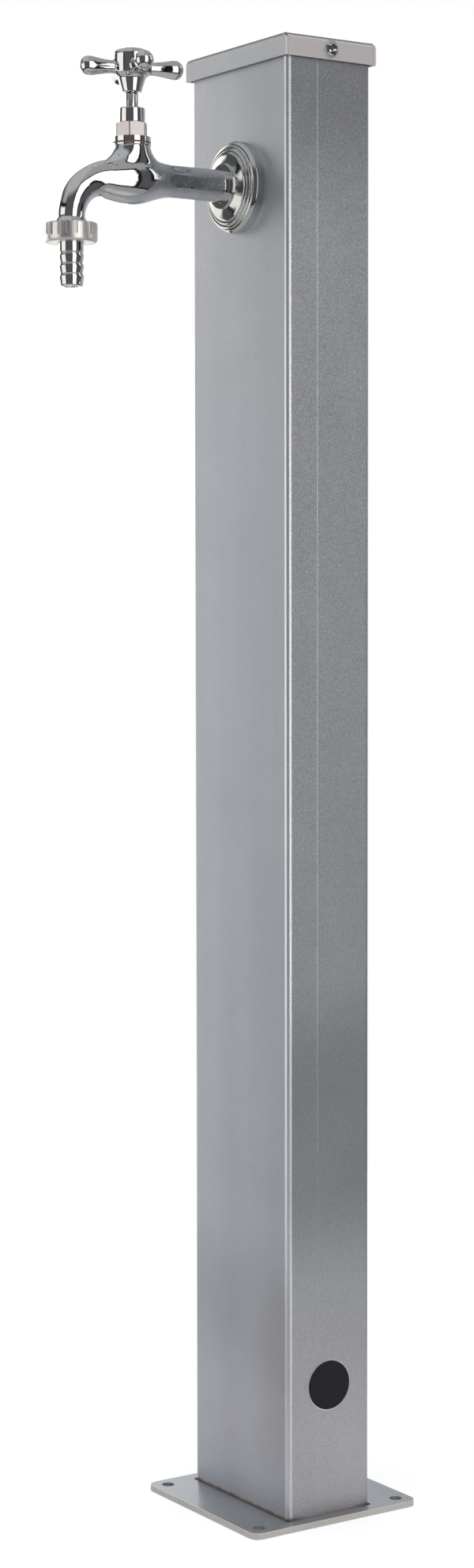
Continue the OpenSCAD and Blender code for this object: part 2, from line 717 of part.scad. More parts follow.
module hose_nut() {
    r = nut_d / 2;
    color("rosybrown") translate([0, spout_y, nut_foot_z]) difference() {
        rotate_extrude() polygon([[0, 0], [r - nut_bevel, 0], [r - skirt_step, nut_bevel * 0.7],
            [r - skirt_step, skirt_h], [r, skirt_h + skirt_step], [r, nut_h - nut_bevel],
            [r - nut_bevel * 0.3, nut_h - nut_bevel * 0.3], [r - nut_bevel, nut_h], [0, nut_h]]);
        translate([0, 0, -cut]) cylinder(d = nut_hole_d, h = nut_h + 2 * cut);
        translate([0, 0, nut_lip_t]) cylinder(d = hose_thread_d + 2 * fit, h = nut_h);
        for (k = [0 : nut_grooves - 1]) rotate([0, 0, 360 * k / nut_grooves])
            translate([r - groove_deep, 0, nut_h - groove_l + groove_w / 2]) {
                rotate([0, 90, 0]) cylinder(d = groove_w, h = groove_deep + cut, $fn = 24);
                translate([0, -groove_w / 2, 0]) cube([groove_deep + cut, groove_w, groove_l]);
            }
    }
}

// Hose tail, from its flange down to its tip
module hose_tail() {
    flange_z = lip_z;
    barb_r = barb_d / 2;
    waist = tail_waist_d / 2;
    barb_rows = [for (i = [0 : barbs - 1]) let (z = tail_collar_foot_z - i * barb_h)
        each [[waist, z], [barb_r * 0.955, z - barb_h * 0.07], [barb_r, z - barb_h * 0.3],
              [barb_r * 0.985, z - barb_h * 0.5], [barb_r * 0.93, z - barb_h * 0.85]]];
    color("lightsteelblue") translate([0, spout_y, 0]) difference() {
        rotate_extrude() polygon(concat([[0, flange_z + tail_flange_t],
            [tail_flange_d / 2, flange_z + tail_flange_t], [tail_flange_d / 2, flange_z],
            [tail_d / 2, flange_z], [tail_d / 2, tail_collar_foot_z + barb_h * 0.08]], barb_rows,
            [[barb_r * 0.945, tail_foot_z + barb_h * 0.18], [barb_r * 0.86, tail_foot_z], [0, tail_foot_z]]));
        translate([0, 0, tail_foot_z - cut]) cylinder(d = tail_bore_d, h = flange_z - tail_foot_z + 2 * barb_h);
    }
}

module tail_gasket() {
    color("black") translate([0, spout_y, lip_z + tail_flange_t]) tube(tail_flange_d, spout_bore_d, gasket_t);
}

// Push-in plug: a flat disc outside, a hollow barrel in the post's hole
module inlet_plug() {
    r = plug_hole_d / 2 + plug_cover;
    color([0.13, 0.13, 0.14]) translate([post_w / 2, 0, plug_z]) rotate([0, 90, 0]) difference() {
        union() {
            rotate_extrude() polygon([[0, 0], [r, 0], [r, plug_disc_t * 0.5],
                [r - plug_disc_t * 0.5, plug_disc_t], [0, plug_disc_t]]);
            translate([0, 0, -plug_barrel_l])
                cylinder(d = plug_hole_d - 2 * fit, h = plug_barrel_l + plug_disc_t / 2);
        }
        translate([0, 0, -plug_barrel_l - cut])
            cylinder(d = plug_hole_d - 2 * (fit + plug_cover), h = plug_barrel_l + cut);
    }
}

module wall_elbow() {
    shoulder_y = -inner_y + elbow_washer_t;
    neck_y = face_y - elbow_neck_out;
    color("peru") difference() {
        union() {
            along_y(neck_y) cylinder(d = elbow_neck_d, h = shoulder_y - neck_y);
            along_y(shoulder_y) cylinder(d = elbow_flange_d, h = elbow_flange_t);
            along_y(shoulder_y) cylinder(d = elbow_body_d, h = riser_y - shoulder_y);
            translate([0, riser_y, tap_z]) sphere(d = elbow_body_d);
            translate([0, riser_y, elbow_leg_foot_z + elbow_thread_l])
                cylinder(d = comp_nut_flats, h = tap_z - elbow_leg_foot_z - elbow_thread_l);
            translate([0, riser_y, elbow_leg_foot_z]) cylinder(d = comp_thread_d, h = elbow_thread_l + cut);
        }
        along_y(neck_y - cut) cylinder(d = shank_thread_d + 2 * fit, h = shank_thread_end_y - neck_y + cut);
        along_y(shank_thread_end_y) cylinder(d = pipe_bore_d, h = riser_y - shank_thread_end_y);
        translate([0, riser_y, riser_top_z]) cylinder(d = pipe_bore_d, h = tap_z - riser_top_z);
        translate([0, riser_y, tap_z]) sphere(d = pipe_bore_d);
        translate([0, riser_y, elbow_leg_foot_z - cut]) cylinder(d = riser_d + 2 * fit, h = riser_in + cut);
    }
}

module elbow_washer() {
    color("black") along_y(-inner_y) tube(elbow_flange_d, elbow_hole_d, elbow_washer_t);
}

module elbow_locknut() {
    color("peru") along_y(face_y - locknut_h) difference() {
        hex_prism(locknut_flats, locknut_h);
        translate([0, 0, -cut]) cylinder(d = elbow_neck_d, h = locknut_h + 2 * cut);
    }
}

module riser_pipe() {
    color("orange") translate([0, riser_y, riser_foot_z])
        tube(riser_d, riser_d - 2 * riser_t, riser_top_z - riser_foot_z);
}

// Compression nut, threaded part at the top, with the hole for the pipe at its foot
module comp_nut() {
    lip = comp_nut_h - elbow_thread_l + play - olive_h;
    difference() {
        hex_prism(comp_nut_flats, comp_nut_h);
        translate([0, 0, -cut]) cylinder(d = riser_d + 2 * fit, h = comp_nut_h + 2 * cut);
        translate([0, 0, lip]) cylinder(d = comp_thread_d, h = comp_nut_h);
    }
}

module riser_top_nut() {
    color("peru") translate([0, riser_y, elbow_leg_foot_z + elbow_thread_l - comp_nut_h - play]) comp_nut();
}

module riser_top_olive() {
    color("gold") translate([0, riser_y, elbow_leg_foot_z - olive_h])
        tube(riser_d + 2 * olive_t, riser_d, olive_h);
}

module riser_foot_nut() {
    color("peru") translate([0, riser_y, connector_top_z - elbow_thread_l + comp_nut_h + play])
        mirror([0, 0, 1]) comp_nut();
}

module riser_foot_olive() {
    color("gold") translate([0, riser_y, connector_top_z])
        tube(riser_d + 2 * olive_t, riser_d, olive_h);
}

module inlet_connector() {
    foot_z = connector_top_z - elbow_thread_l - connector_h;
    color("peru") translate([0, riser_y, 0]) difference() {
        union() {
            translate([0, 0, foot_z]) hex_prism(connector_flats, connector_h);
            translate([0, 0, connector_top_z - elbow_thread_l - cut])
                cylinder(d = comp_thread_d, h = elbow_thread_l + cut);
        }
        translate([0, 0, foot_z - cut]) cylinder(d = inlet_thread_d, h = inlet_thread_l + cut);
        translate([0, 0, foot_z]) cylinder(d = pipe_bore_d, h = connector_h + elbow_thread_l);
        translate([0, 0, riser_foot_z]) cylinder(d = riser_d + 2 * fit, h = riser_in + cut);
    }
}

// Two stand-off brackets: a ring round the pipe, an arm, and a foot on the back wall
module riser_brackets() {
    ring_d = riser_d + 2 * bracket_ring_t;
    foot_w = bracket_w * 1.6;
    color("silver") for (s = bracket_shares)
        translate([0, 0, riser_foot_z + (riser_top_z - riser_foot_z) * s]) difference() {
            union() {
                translate([0, riser_y, -bracket_w / 2]) cylinder(d = ring_d, h = bracket_w);
                translate([-bracket_t / 2, riser_y, -bracket_w / 2])
                    cube([bracket_t, inner_y - riser_y - bracket_t / 2, bracket_w]);
                translate([-foot_w / 2, inner_y - bracket_t, -bracket_w / 2])
                    cube([foot_w, bracket_t, bracket_w]);
            }
            translate([0, riser_y, -bracket_w]) cylinder(d = riser_d, h = 2 * bracket_w);
        }
}

base_plate();
post();
foot_weld();
lid();
lid_screws();
lid_nuts();
wall_rosette();
tap_body();
bonnet_washer();
bonnet();
gland_packing();
gland_nut();
jumper_valve();
valve_washer();
valve_washer_nut();
spindle();
cross_handle();
handle_screw();
handle_cap();
hose_nut();
hose_tail();
tail_gasket();
inlet_plug();
wall_elbow();
elbow_washer();
elbow_locknut();
riser_pipe();
riser_top_nut();
riser_top_olive();
riser_foot_nut();
riser_foot_olive();
inlet_connector();
riser_brackets();
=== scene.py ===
"""A garden tap fountain: the pieces that stand on its solids, their finishes, and its studio."""

import json
import logging
import math
from dataclasses import dataclass
from enum import Enum
from typing import Any, Iterable, Optional, Sequence, Union

import bmesh
import bpy
from mathutils import Matrix, Vector

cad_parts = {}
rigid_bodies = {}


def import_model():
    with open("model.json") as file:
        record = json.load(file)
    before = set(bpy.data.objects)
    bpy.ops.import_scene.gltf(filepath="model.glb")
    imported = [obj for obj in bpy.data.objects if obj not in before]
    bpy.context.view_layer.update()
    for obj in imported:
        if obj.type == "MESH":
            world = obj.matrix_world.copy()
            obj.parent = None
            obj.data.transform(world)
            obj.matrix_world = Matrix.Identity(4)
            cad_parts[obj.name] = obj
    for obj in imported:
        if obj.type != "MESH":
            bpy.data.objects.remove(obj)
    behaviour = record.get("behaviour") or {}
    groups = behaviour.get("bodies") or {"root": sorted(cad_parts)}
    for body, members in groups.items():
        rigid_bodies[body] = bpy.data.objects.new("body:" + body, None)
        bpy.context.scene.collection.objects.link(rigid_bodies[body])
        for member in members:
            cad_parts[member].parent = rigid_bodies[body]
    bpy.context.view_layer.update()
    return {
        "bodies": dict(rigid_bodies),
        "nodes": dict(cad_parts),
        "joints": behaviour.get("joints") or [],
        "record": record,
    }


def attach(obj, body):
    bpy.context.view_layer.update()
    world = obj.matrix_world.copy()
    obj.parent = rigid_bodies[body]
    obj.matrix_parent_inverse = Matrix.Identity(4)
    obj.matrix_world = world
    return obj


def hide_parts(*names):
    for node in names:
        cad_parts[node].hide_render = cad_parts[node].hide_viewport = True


LOG = logging.getLogger("tap_fountain")
MM = 0.001
# places that several classes share, in millimetres
SPINDLE_Y = -112.5
SPOUT_Y = -157.0
PLUG_Z = 88.5
Colour = tuple[float, float, float]
Outline = list[tuple[float, float]]
Value = Union["Signal", float]


class Body(Enum):
    """The moving parts of the fountain."""

    POST = "post_and_tap"
    HANDLE = "spindle_and_handle"
    TAIL = "hose_tail"
    NUT = "hose_nut"
    PLUG = "plug"


class Grain(Enum):
    """The way a sheet's fine lines run, as stretches of a pattern along X, Y and Z."""

    UPRIGHT = (1.0, 1.0, 0.05)
    LEVEL = (0.05, 0.05, 1.0)
    NONE = (1.0, 1.0, 1.0)


# ---------------------------------------------------------------- shader graphs


class Signal:
    """An output of a shader node that expressions are written with."""

    def __init__(self, graph: "Graph", socket: bpy.types.NodeSocket) -> None:
        """Wraps one socket.

        Args:
            graph: The graph that the socket's node stands in.
            socket: The output that this signal carries.
        """
        self.graph = graph
        self.socket = socket

    def __add__(self, other: Value) -> "Signal":
        """Adds a value."""
        return self.graph.maths("ADD", self, other)

    def __radd__(self, other: Value) -> "Signal":
        """Adds this to a value."""
        return self.graph.maths("ADD", other, self)

    def __sub__(self, other: Value) -> "Signal":
        """Takes a value away."""
        return self.graph.maths("SUBTRACT", self, other)

    def __rsub__(self, other: Value) -> "Signal":
        """Takes this away from a value."""
        return self.graph.maths("SUBTRACT", other, self)

    def __mul__(self, other: Value) -> "Signal":
        """Multiplies by a value."""
        return self.graph.maths("MULTIPLY", self, other)

    def __rmul__(self, other: Value) -> "Signal":
        """Multiplies a value by this."""
        return self.graph.maths("MULTIPLY", other, self)

    def __neg__(self) -> "Signal":
        """Turns the sign round."""
        return self.graph.maths("MULTIPLY", self, -1.0)

    def __abs__(self) -> "Signal":
        """Drops the sign."""
        return self.graph.maths("ABSOLUTE", self)

    def clamped(self) -> "Signal":
        """Keeps this between 0 and 1."""
        return self.graph.maths("ADD", self, 0.0, clamp=True)

    def most(self, other: Value) -> "Signal":
        """The larger of this and a value."""
        return self.graph.maths("MAXIMUM", self, other)

    def rise(self, low: float, high: float) -> "Signal":
        """A smooth step.

        Args:
            low: Where the step starts, at 0.
            high: Where the step ends, at 1. It may be below low, for a step down.

        Returns:
            A signal between 0 and 1.
        """
        turned = low > high
        node = self.graph.node("ShaderNodeMapRange", {"interpolation_type": "SMOOTHSTEP"},
                               {"Value": self, "From Min": min(low, high), "From Max": max(low, high)})
        step = Signal(self.graph, node.outputs["Result"])
        return 1.0 - step if turned else step

    def band(self, low: float, high: float, soft: float) -> "Signal":
        """A window with soft edges.

        Args:
            low: The middle of the lower edge.
            high: The middle of the upper edge.
            soft: How wide each edge is.

        Returns:
            A signal of 1 inside the window and 0 outside it.
        """
        half = soft / 2
        return self.rise(low - half, low + half) * self.rise(high + half, high - half)


class Graph:
    """Builds the nodes of one material or of the world."""

    def __init__(self, tree: bpy.types.NodeTree) -> None:
        """Empties a node tree and works in it.

        Args:
            tree: The tree of a material or of the world.
        """
        self.tree = tree
        tree.nodes.clear()

    def node(self, kind: str, settings: Optional[dict[str, Any]] = None,
             inputs: Optional[dict[Union[str, int], Any]] = None) -> bpy.types.Node:
        """Adds a node: its settings first, then its sockets.

        Args:
            kind: The node's type.
            settings: Its properties.
            inputs: Values or signals for its sockets, by name or number.

        Returns:
            The new node.
        """
        made = self.tree.nodes.new(kind)
        for name, value in (settings or {}).items():
            setattr(made, name, value)
        for key, value in (inputs or {}).items():
            self.feed(made.inputs[key], value)
        return made

    def feed(self, socket: bpy.types.NodeSocket, value: Any) -> None:
        """Links a signal to a socket, or sets the socket to a value.

        Args:
            socket: The input.
            value: A signal, a number, a vector or a colour.
        """
        if isinstance(value, Signal):
            self.tree.links.new(value.socket, socket)
        elif isinstance(value, tuple) and socket.type == "RGBA":
            socket.default_value = (*value, 1.0)
        else:
            socket.default_value = value

    def maths(self, operation: str, *values: Value, clamp: bool = False) -> Signal:
        """Adds a Math node.

        Args:
            operation: What it does.
            values: Its numbers or signals.
            clamp: Whether its result stays between 0 and 1.

        Returns:
            Its result.
        """
        made = self.node("ShaderNodeMath", {"operation": operation, "use_clamp": clamp},
                         dict(enumerate(values)))
        return Signal(self, made.outputs[0])

    def vector(self, operation: str, a: Any, b: Any) -> Signal:
        """Adds a Vector Math node on two vectors or colours."""
        made = self.node("ShaderNodeVectorMath", {"operation": operation}, {0: a, 1: b})
        return Signal(self, made.outputs[0])

    def parts(self, vector: Signal) -> tuple[Signal, Signal, Signal]:
        """Splits a vector into its three numbers."""
        made = self.node("ShaderNodeSeparateXYZ", None, {0: vector})
        return tuple(Signal(self, made.outputs[i]) for i in range(3))

    def reach(self, across: Signal, along: Signal) -> Signal:
        """The distance from an axis, from the two ways square to it."""
        return self.maths("SQRT", across * across + along * along)

    def place(self) -> Signal:
        """The point's place on the object, in millimetres."""
        made = self.node("ShaderNodeTexCoord")
        return self.vector("MULTIPLY", Signal(self, made.outputs["Object"]), (1000.0, 1000.0, 1000.0))

    def noise(self, place: Signal, size: float, detail: float = 2.0, stretch: Grain = Grain.NONE,
              shift: float = 0.0) -> Signal:
        """A soft random pattern round 0.

        Args:
            place: Where to read it, in millimetres.
            size: The width of its blotches in millimetres.
            detail: How many finer layers it has.
            stretch: The way its blotches are drawn out.
            shift: Moves the pattern, so that two of the same size differ.

        Returns:
            A signal between about -1 and 1.
        """
        scale = tuple(s / size for s in stretch.value)
        at = self.vector("MULTIPLY", place, scale)
        at = self.vector("ADD", at, (shift, shift * 0.7, shift * 1.3))
        made = self.node("ShaderNodeTexNoise", {"noise_dimensions": "3D"},
                         {"Vector": at, "Scale": 1.0, "Detail": detail, "Roughness": 0.55})
        return (Signal(self, made.outputs[0]) - 0.5) * 2.0

    def mix(self, share: Value, a: Any, b: Any) -> Signal:
        """Mixes two colours.

        Args:
            share: How much of the second.
            a: The first colour or signal.
            b: The second colour or signal.

        Returns:
            The mixed colour.
        """
        made = self.node("ShaderNodeMix", {"data_type": "RGBA"}, {0: share, 6: a, 7: b})
        return Signal(self, made.outputs[2])

    def tinted(self, share: Value, colour: Signal, tint: Colour) -> Signal:
        """Multiplies a colour by a tint, in part."""
        return self.mix(share, colour, self.vector("MULTIPLY", colour, tint))

    def shaded(self, colour: Any, level: Value) -> Signal:
        """Multiplies a colour by a number."""
        made = self.node("ShaderNodeVectorMath", {"operation": "SCALE"}, {0: colour, "Scale": level})
        return Signal(self, made.outputs[0])

    def bump(self, height: Signal, depth: float, under: Optional[Signal] = None) -> Signal:
        """Makes a relief from heights.

        Args:
            height: The heights, as shares of the depth.
            depth: The height of 1, in millimetres.
            under: A relief that this one lies on.

        Returns:
            The normal.
        """
        inputs: dict[Union[str, int], Any] = {"Height": height, "Distance": depth * MM, "Strength": 1.0}
        if under is not None:
            inputs["Normal"] = under
        return Signal(self, self.node("ShaderNodeBump", None, inputs).outputs[0])

    def surface(self, **inputs: Any) -> None:
        """Adds the shader and the material's output.

        Args:
            inputs: Its sockets by name, with underscores for spaces.
        """
        named = {key.replace("_", " "): value for key, value in inputs.items()}
        shader = self.node("ShaderNodeBsdfPrincipled", None, named)
        self.node("ShaderNodeOutputMaterial", None, {0: Signal(self, shader.outputs[0])})


# ---------------------------------------------------------------- finishes


@dataclass(frozen=True)
class Finish:
    """A named finish. Each kind paints its own graph."""

    name: str

    def paint(self, graph: Graph) -> None:
        """Builds the nodes of this finish.

        Args:
            graph: The graph to work in.
        """
        raise NotImplementedError

    def material(self) -> bpy.types.Material:
        """Makes the material, or finds it if it is there already.

        Returns:
            The material.
        """
        made = bpy.data.materials.get(self.name)
        if made is None:
            made = bpy.data.materials.new(self.name)
            made.use_nodes = True
            self.paint(Graph(made.node_tree))
        return made


@dataclass(frozen=True)
class SheetSteel(Finish):
    """Stainless sheet with a fine grain, faint clouds and fine lines."""

    colour: Colour = (0.69, 0.713, 0.765)
    roughness: float = 0.36
    speckle: float = 0.05
    speckle_size: float = 0.88
    clouds: float = 0.03
    lines: float = 0.02
    grain: Grain = Grain.UPRIGHT
    relief: float = 0.004

    def tone(self, graph: Graph, place: Signal, speckle: Value) -> Signal:
        """The sheet's lightness, round 1.

        Args:
            graph: The graph to work in.
            place: The place in millimetres.
            speckle: How strong the grain is.

        Returns:
            The lightness.
        """
        grain = graph.noise(place, self.speckle_size, 1.0)
        clouds = graph.noise(place, 46.0, 2.0, shift=3.1)
        lines = graph.noise(place, 1.3, 2.0, self.grain, 7.7)
        return 1.0 + grain * speckle + clouds * self.clouds + lines * self.lines

    def dullness(self, graph: Graph, place: Signal) -> Signal:
        """The sheet's roughness, in faint patches."""
        return self.roughness + graph.noise(place, 30.0, shift=1.7) * 0.03

    def relief_of(self, graph: Graph, place: Signal) -> Signal:
        """The sheet's fine relief."""
        height = graph.noise(place, self.speckle_size, 1.0) + graph.noise(place, 0.9, 1.0, self.grain)
        return graph.bump(height, self.relief)

    def paint(self, graph: Graph) -> None:
        """Paints the plain sheet.

        Args:
            graph: The graph to work in.
        """
        place = graph.place()
        tone = self.tone(graph, place, self.speckle)
        graph.surface(Base_Color=graph.shaded(self.colour, tone), Metallic=1.0,
                      Roughness=self.dullness(graph, place), Normal=self.relief_of(graph, place))


@dataclass(frozen=True)
class PostSteel(SheetSteel):
    """The post's sheet: grainier sides, a fine seam, and heat marks over its weld."""

    side_x: float = 54.8
    front_y: float = 32.3
    bend: float = 3.5
    bend_painted_highlight: float = 0.42
    side_speckle: float = 0.60
    side_level: float = 0.93
    seam_y: float = -8.9
    seam_w: float = 0.45
    seam_shine: float = 0.28
    weld_z: float = 4.0
    hole_z: float = PLUG_Z
    hole_r: float = 15.8
    cooler: Colour = (0.985, 1.012, 1.035)
    warmer: Colour = (1.015, 0.985, 0.98)
    clouded: Colour = (1.0, 0.945, 0.925)
    low_warm_tint: Colour = (0.955, 0.895, 0.86)
    straw: Colour = (0.93, 0.85, 0.80)
    brown: Colour = (0.17, 0.105, 0.075)

    def flats(self, graph: Graph, place: Signal, side: Signal) -> Signal:
        """The lightness of the four flats.

        Args:
            graph: The graph to work in.
            place: The place in millimetres.
            side: Where the two narrow sides are.

        Returns:
            The lightness, round 1.
        """
        x, _, z = graph.parts(place)
        wide = 1.0 - side
        coarse = side * (z.rise(150.0, 750.0) * 0.65 + 0.35)
        tone = self.tone(graph, place, coarse * (self.side_speckle - self.speckle) + self.speckle)
        tone = tone * (1.0 + graph.noise(place, 22.0, 1.0, Grain.UPRIGHT, 21.0) * wide * 0.05)
        # painted light and shade: the front is lighter towards its left end and darker towards its right
        # end
        tone = tone * (1.0 - side * (1.0 - self.side_level)) * (1.0 - x * wide * 0.0016)
        # painted shade: the sides are darker under the lid and above the plug, and the front is a little
        # darker above the foot
        painted_shade = z.rise(815.0, 920.0) * 0.32 + z.band(185.0, 330.0, 80.0) * 0.25
        return tone * (1.0 - side * painted_shade) * (1.0 - wide * z.band(95.0, 170.0, 60.0) * 0.12)

    def tints(self, graph: Graph, place: Signal, side: Signal, colour: Signal) -> Signal:
        """Tints the sheet: cooler in the front's middle, warmer low down, and warmer and darker low on the
        front's right.

        Args:
            graph: The graph to work in.
            place: The place in millimetres.
            side: Where the two narrow sides are.
            colour: The untinted colour.

        Returns:
            The tinted colour.
        """
        x, y, z = graph.parts(place)
        wide = 1.0 - side
        colour = graph.tinted(wide * z.rise(900.0, 620.0), colour, self.cooler)
        colour = graph.tinted(z.rise(230.0, 50.0), colour, self.warmer)
        low = z.rise(190.0, 20.0) * graph.noise(place, 34.0, 2.0, shift=5.0).rise(-0.1, 0.5)
        colour = graph.tinted(low * 0.55, colour, self.clouded)
        low_warm_patch = wide * (-y).rise(0.0, 1.0) * x.rise(4.0, 46.0) * z.band(52.0, 150.0, 80.0)
        low_warm_patch = (low_warm_patch * (0.85 + graph.noise(place, 24.0, 2.0, shift=26.0) * 0.7)).clamped()
        return graph.tinted(low_warm_patch, colour, self.low_warm_tint)

    def paint(self, graph: Graph) -> None:
        """Paints the post.

        Args:
            graph: The graph to work in.
        """
        place = graph.place()
        x, y, z = graph.parts(place)
        side = abs(x).rise(self.side_x - 0.3, self.side_x)
        right = side * x.rise(0.0, 1.0)
        corner_x = abs(x).rise(self.side_x - self.bend, self.side_x - self.bend + 0.9)
        bent = corner_x * (-y).rise(self.front_y - self.bend, self.front_y - self.bend + 0.9)
        # the seam fades towards the foot
        seam = right * abs(y - self.seam_y).rise(self.seam_w, self.seam_w * 0.4)
        seam = seam * (z.rise(150.0, 330.0) * 0.8 + 0.2)
        # painted highlight: the front bends are lighter
        tone = self.flats(graph, place, side) * (1.0 + bent * self.bend_painted_highlight)
        tone = tone * (1.0 + seam * self.seam_shine)
        # rubbed bright round the plug's hole
        rubbed = right * graph.reach(y, z - self.hole_z).band(self.hole_r, self.hole_r + 0.8, 0.4)
        colour = graph.shaded(graph.shaded(self.colour, tone), 1.0 + rubbed * 0.4)
        colour = self.tints(graph, place, side, colour)
        # straw and brown heat marks along the weld
        edge = graph.noise(place, 9.0, 3.0, shift=2.0)
        straw = (z - self.weld_z + edge * 3.0).rise(11.0, 1.5)
        corner = abs(y).rise(14.0, 31.0).most((1.0 - side) * 0.6)
        brown = (z - self.weld_z + edge * 1.6).rise(3.0, 0.1) * corner
        colour = graph.mix(brown * 0.85, graph.tinted(straw * 0.5, colour, self.straw), self.brown)
        graph.surface(Base_Color=colour, Metallic=1.0 - brown * 0.4,
                      Roughness=self.dullness(graph, place) + straw * 0.06 - bent * 0.05,
                      Normal=graph.bump(seam, 0.05, self.relief_of(graph, place)))


@dataclass(frozen=True)
class PlateSteel(SheetSteel):
    """The base plate: rolled top, paler sawn edge, and a brown tint round the cut-out."""

    half: float = 65.0
    corner_r: float = 7.0
    post_half: tuple[float, float] = (55.0, 32.5)
    cut_edge: Colour = (0.86, 0.82, 0.78)
    scorched: Colour = (0.16, 0.10, 0.08)

    def paint(self, graph: Graph) -> None:
        """Paints the plate.

        Args:
            graph: The graph to work in.
        """
        place = graph.place()
        x, y, _ = graph.parts(place)
        tone = self.tone(graph, place, self.speckle)
        inner = self.half - self.corner_r
        past_x, past_y = (abs(x) - inner).most(0.0), (abs(y) - inner).most(0.0)
        edge = graph.reach(past_x, past_y).rise(self.corner_r - 0.6, self.corner_r - 0.2)
        colour = graph.shaded(self.colour, tone)
        colour = graph.mix(edge * 0.9, colour, graph.shaded(self.cut_edge, tone))
        reach = (abs(x) - self.post_half[0]).most(abs(y) - self.post_half[1])
        burnt = (reach + graph.noise(place, 7.0, 3.0)).rise(1.5, 0.1)
        colour = graph.mix(burnt * 0.7, colour, self.scorched)
        graph.surface(Base_Color=colour, Metallic=1.0 - burnt * 0.3 - edge * 0.6,
                      Roughness=self.roughness + edge * 0.12 + burnt * 0.15,
                      Normal=self.relief_of(graph, place))


@dataclass(frozen=True)
class LidSteel(SheetSteel):
    """The lid's sheet: dull brushed flats, smoother bends with painted shade, and pale cut ends of the
    flanges.
    """

    bend_z: tuple[float, float] = (948.1, 949.5)
    bend: float = 3.4
    bend_roughness: float = 0.22
    end_x: float = 57.35
    end_y: float = 33.55
    flange: Colour = (0.75, 0.71, 0.725)
    cut_end: Colour = (0.86, 0.85, 0.86)

    def paint(self, graph: Graph) -> None:
        """Paints the lid.

        Args:
            graph: The graph to work in.
        """
        place = graph.place()
        x, y, z = graph.parts(place)
        past = (abs(x) - self.end_x).most(abs(y) - self.end_y - 1.4)
        bent = z.rise(*self.bend_z) * past.rise(-self.bend - 0.8, -self.bend + 0.4)
        cut = abs(x).rise(self.end_x - 0.1, self.end_x) * abs(y).rise(self.end_y, self.end_y + 0.1)
        end = abs(x).rise(self.end_x - 4.0, self.end_x - 2.8)
        # painted shade: the bends are darker, most of all where the side flanges bend
        tone = self.tone(graph, place, self.speckle) * (1.0 - bent * (end * 0.36 + 0.14))
        side = abs(x).rise(self.end_x - 0.3, self.end_x)
        colour = graph.mix(side, self.colour, self.flange)
        colour = graph.mix(cut * 0.9, graph.shaded(colour, tone), self.cut_end)
        smoother = bent * (self.roughness - self.bend_roughness)
        graph.surface(Base_Color=colour, Metallic=1.0 - (1.0 - bent) * side * 0.42 - cut * 0.3,
                      Roughness=self.dullness(graph, place) - smoother,
                      Normal=self.relief_of(graph, place))


@dataclass(frozen=True)
class Chrome(Finish):
    """Polished plating over a casting: mirror bright, with a faint swell and fine pits."""

    colour: Colour = (0.77, 0.77, 0.775)
    roughness: float = 0.05
    swell: float = 0.012
    swell_size: float = 7.0
    pits: float = 0.0
    skin: float = 0.0
    skin_y: tuple[float, float] = (-101.0, -50.0)

    def paint(self, graph: Graph) -> None:
        """Paints the plating.

        Args:
            graph: The graph to work in.
        """
        place = graph.place()
        wear = graph.noise(place, 4.0, 3.0).rise(0.05, 0.7)
        relief = graph.bump(graph.noise(place, self.swell_size, 1.0, shift=4.0), self.swell)
        if self.pits:
            fine = graph.noise(place, 0.7, 2.0, shift=9.0)
            relief = graph.bump(fine, self.pits, relief)
        if self.skin:
            # the casting's skin shows through the plating where it was polished least
            _, y, _ = graph.parts(place)
            rough = graph.noise(place, 6.0, 2.0, shift=12.0).rise(-0.25, 0.25) * y.band(*self.skin_y, 10.0)
            relief = graph.bump(graph.noise(place, 1.1, 2.0, shift=15.0) * rough, self.skin, relief)
            wear = wear.most(rough * 1.5)
        graph.surface(Base_Color=graph.shaded(self.colour, 1.0 - wear * 0.06), Metallic=1.0,
                      Roughness=self.roughness + wear * 0.05, Normal=relief)


@dataclass(frozen=True)
class SatinMetal(Finish):
    """Turned or cast metal with a satin skin and faint tool marks."""

    colour: Colour = (0.72, 0.67, 0.66)
    roughness: float = 0.28
    lines: float = 0.04
    grain: Grain = Grain.LEVEL

    def paint(self, graph: Graph) -> None:
        """Paints the metal.

        Args:
            graph: The graph to work in.
        """
        place = graph.place()
        marks = graph.noise(place, 0.5, 2.0, self.grain)
        cloud = graph.noise(place, 5.0, 2.0, shift=2.0)
        tone = 1.0 + marks * self.lines + cloud * 0.04
        graph.surface(Base_Color=graph.shaded(self.colour, tone), Metallic=1.0,
                      Roughness=self.roughness + cloud * 0.05, Normal=graph.bump(marks, 0.006))


@dataclass(frozen=True)
class HeadworkMetal(SatinMetal):
    """Satin hexagon with a painted dark reflection on its corners, over a polished flange."""

    polished: Colour = (0.77, 0.77, 0.775)
    polished_roughness: float = 0.05
    split_z: float = 885.5
    axis_y: float = SPINDLE_Y
    corner_r: float = 10.2
    corner: Colour = (0.15, 0.17, 0.20)

    def paint(self, graph: Graph) -> None:
        """Paints both zones.

        Args:
            graph: The graph to work in.
        """
        place = graph.place()
        x, y, z = graph.parts(place)
        out = graph.reach(x, y - self.axis_y)
        satin = z.rise(self.split_z - 0.1, self.split_z + 0.1)
        painted_dark_corner = satin * out.rise(self.corner_r - 0.15, self.corner_r)
        marks = graph.noise(place, 0.5, 2.0, self.grain)
        cloud = graph.noise(place, 5.0, 2.0, shift=2.0)
        # painted reflection: the hexagon's corners are dark
        colour = graph.mix(painted_dark_corner, graph.mix(satin, self.polished, self.colour), self.corner)
        duller = self.roughness - self.polished_roughness
        graph.surface(Base_Color=graph.shaded(colour, 1.0 + marks * self.lines * satin + cloud * 0.03),
                      Metallic=1.0, Roughness=self.polished_roughness + (satin - painted_dark_corner * 0.5) * duller,
                      Normal=graph.bump(marks * satin, 0.006))


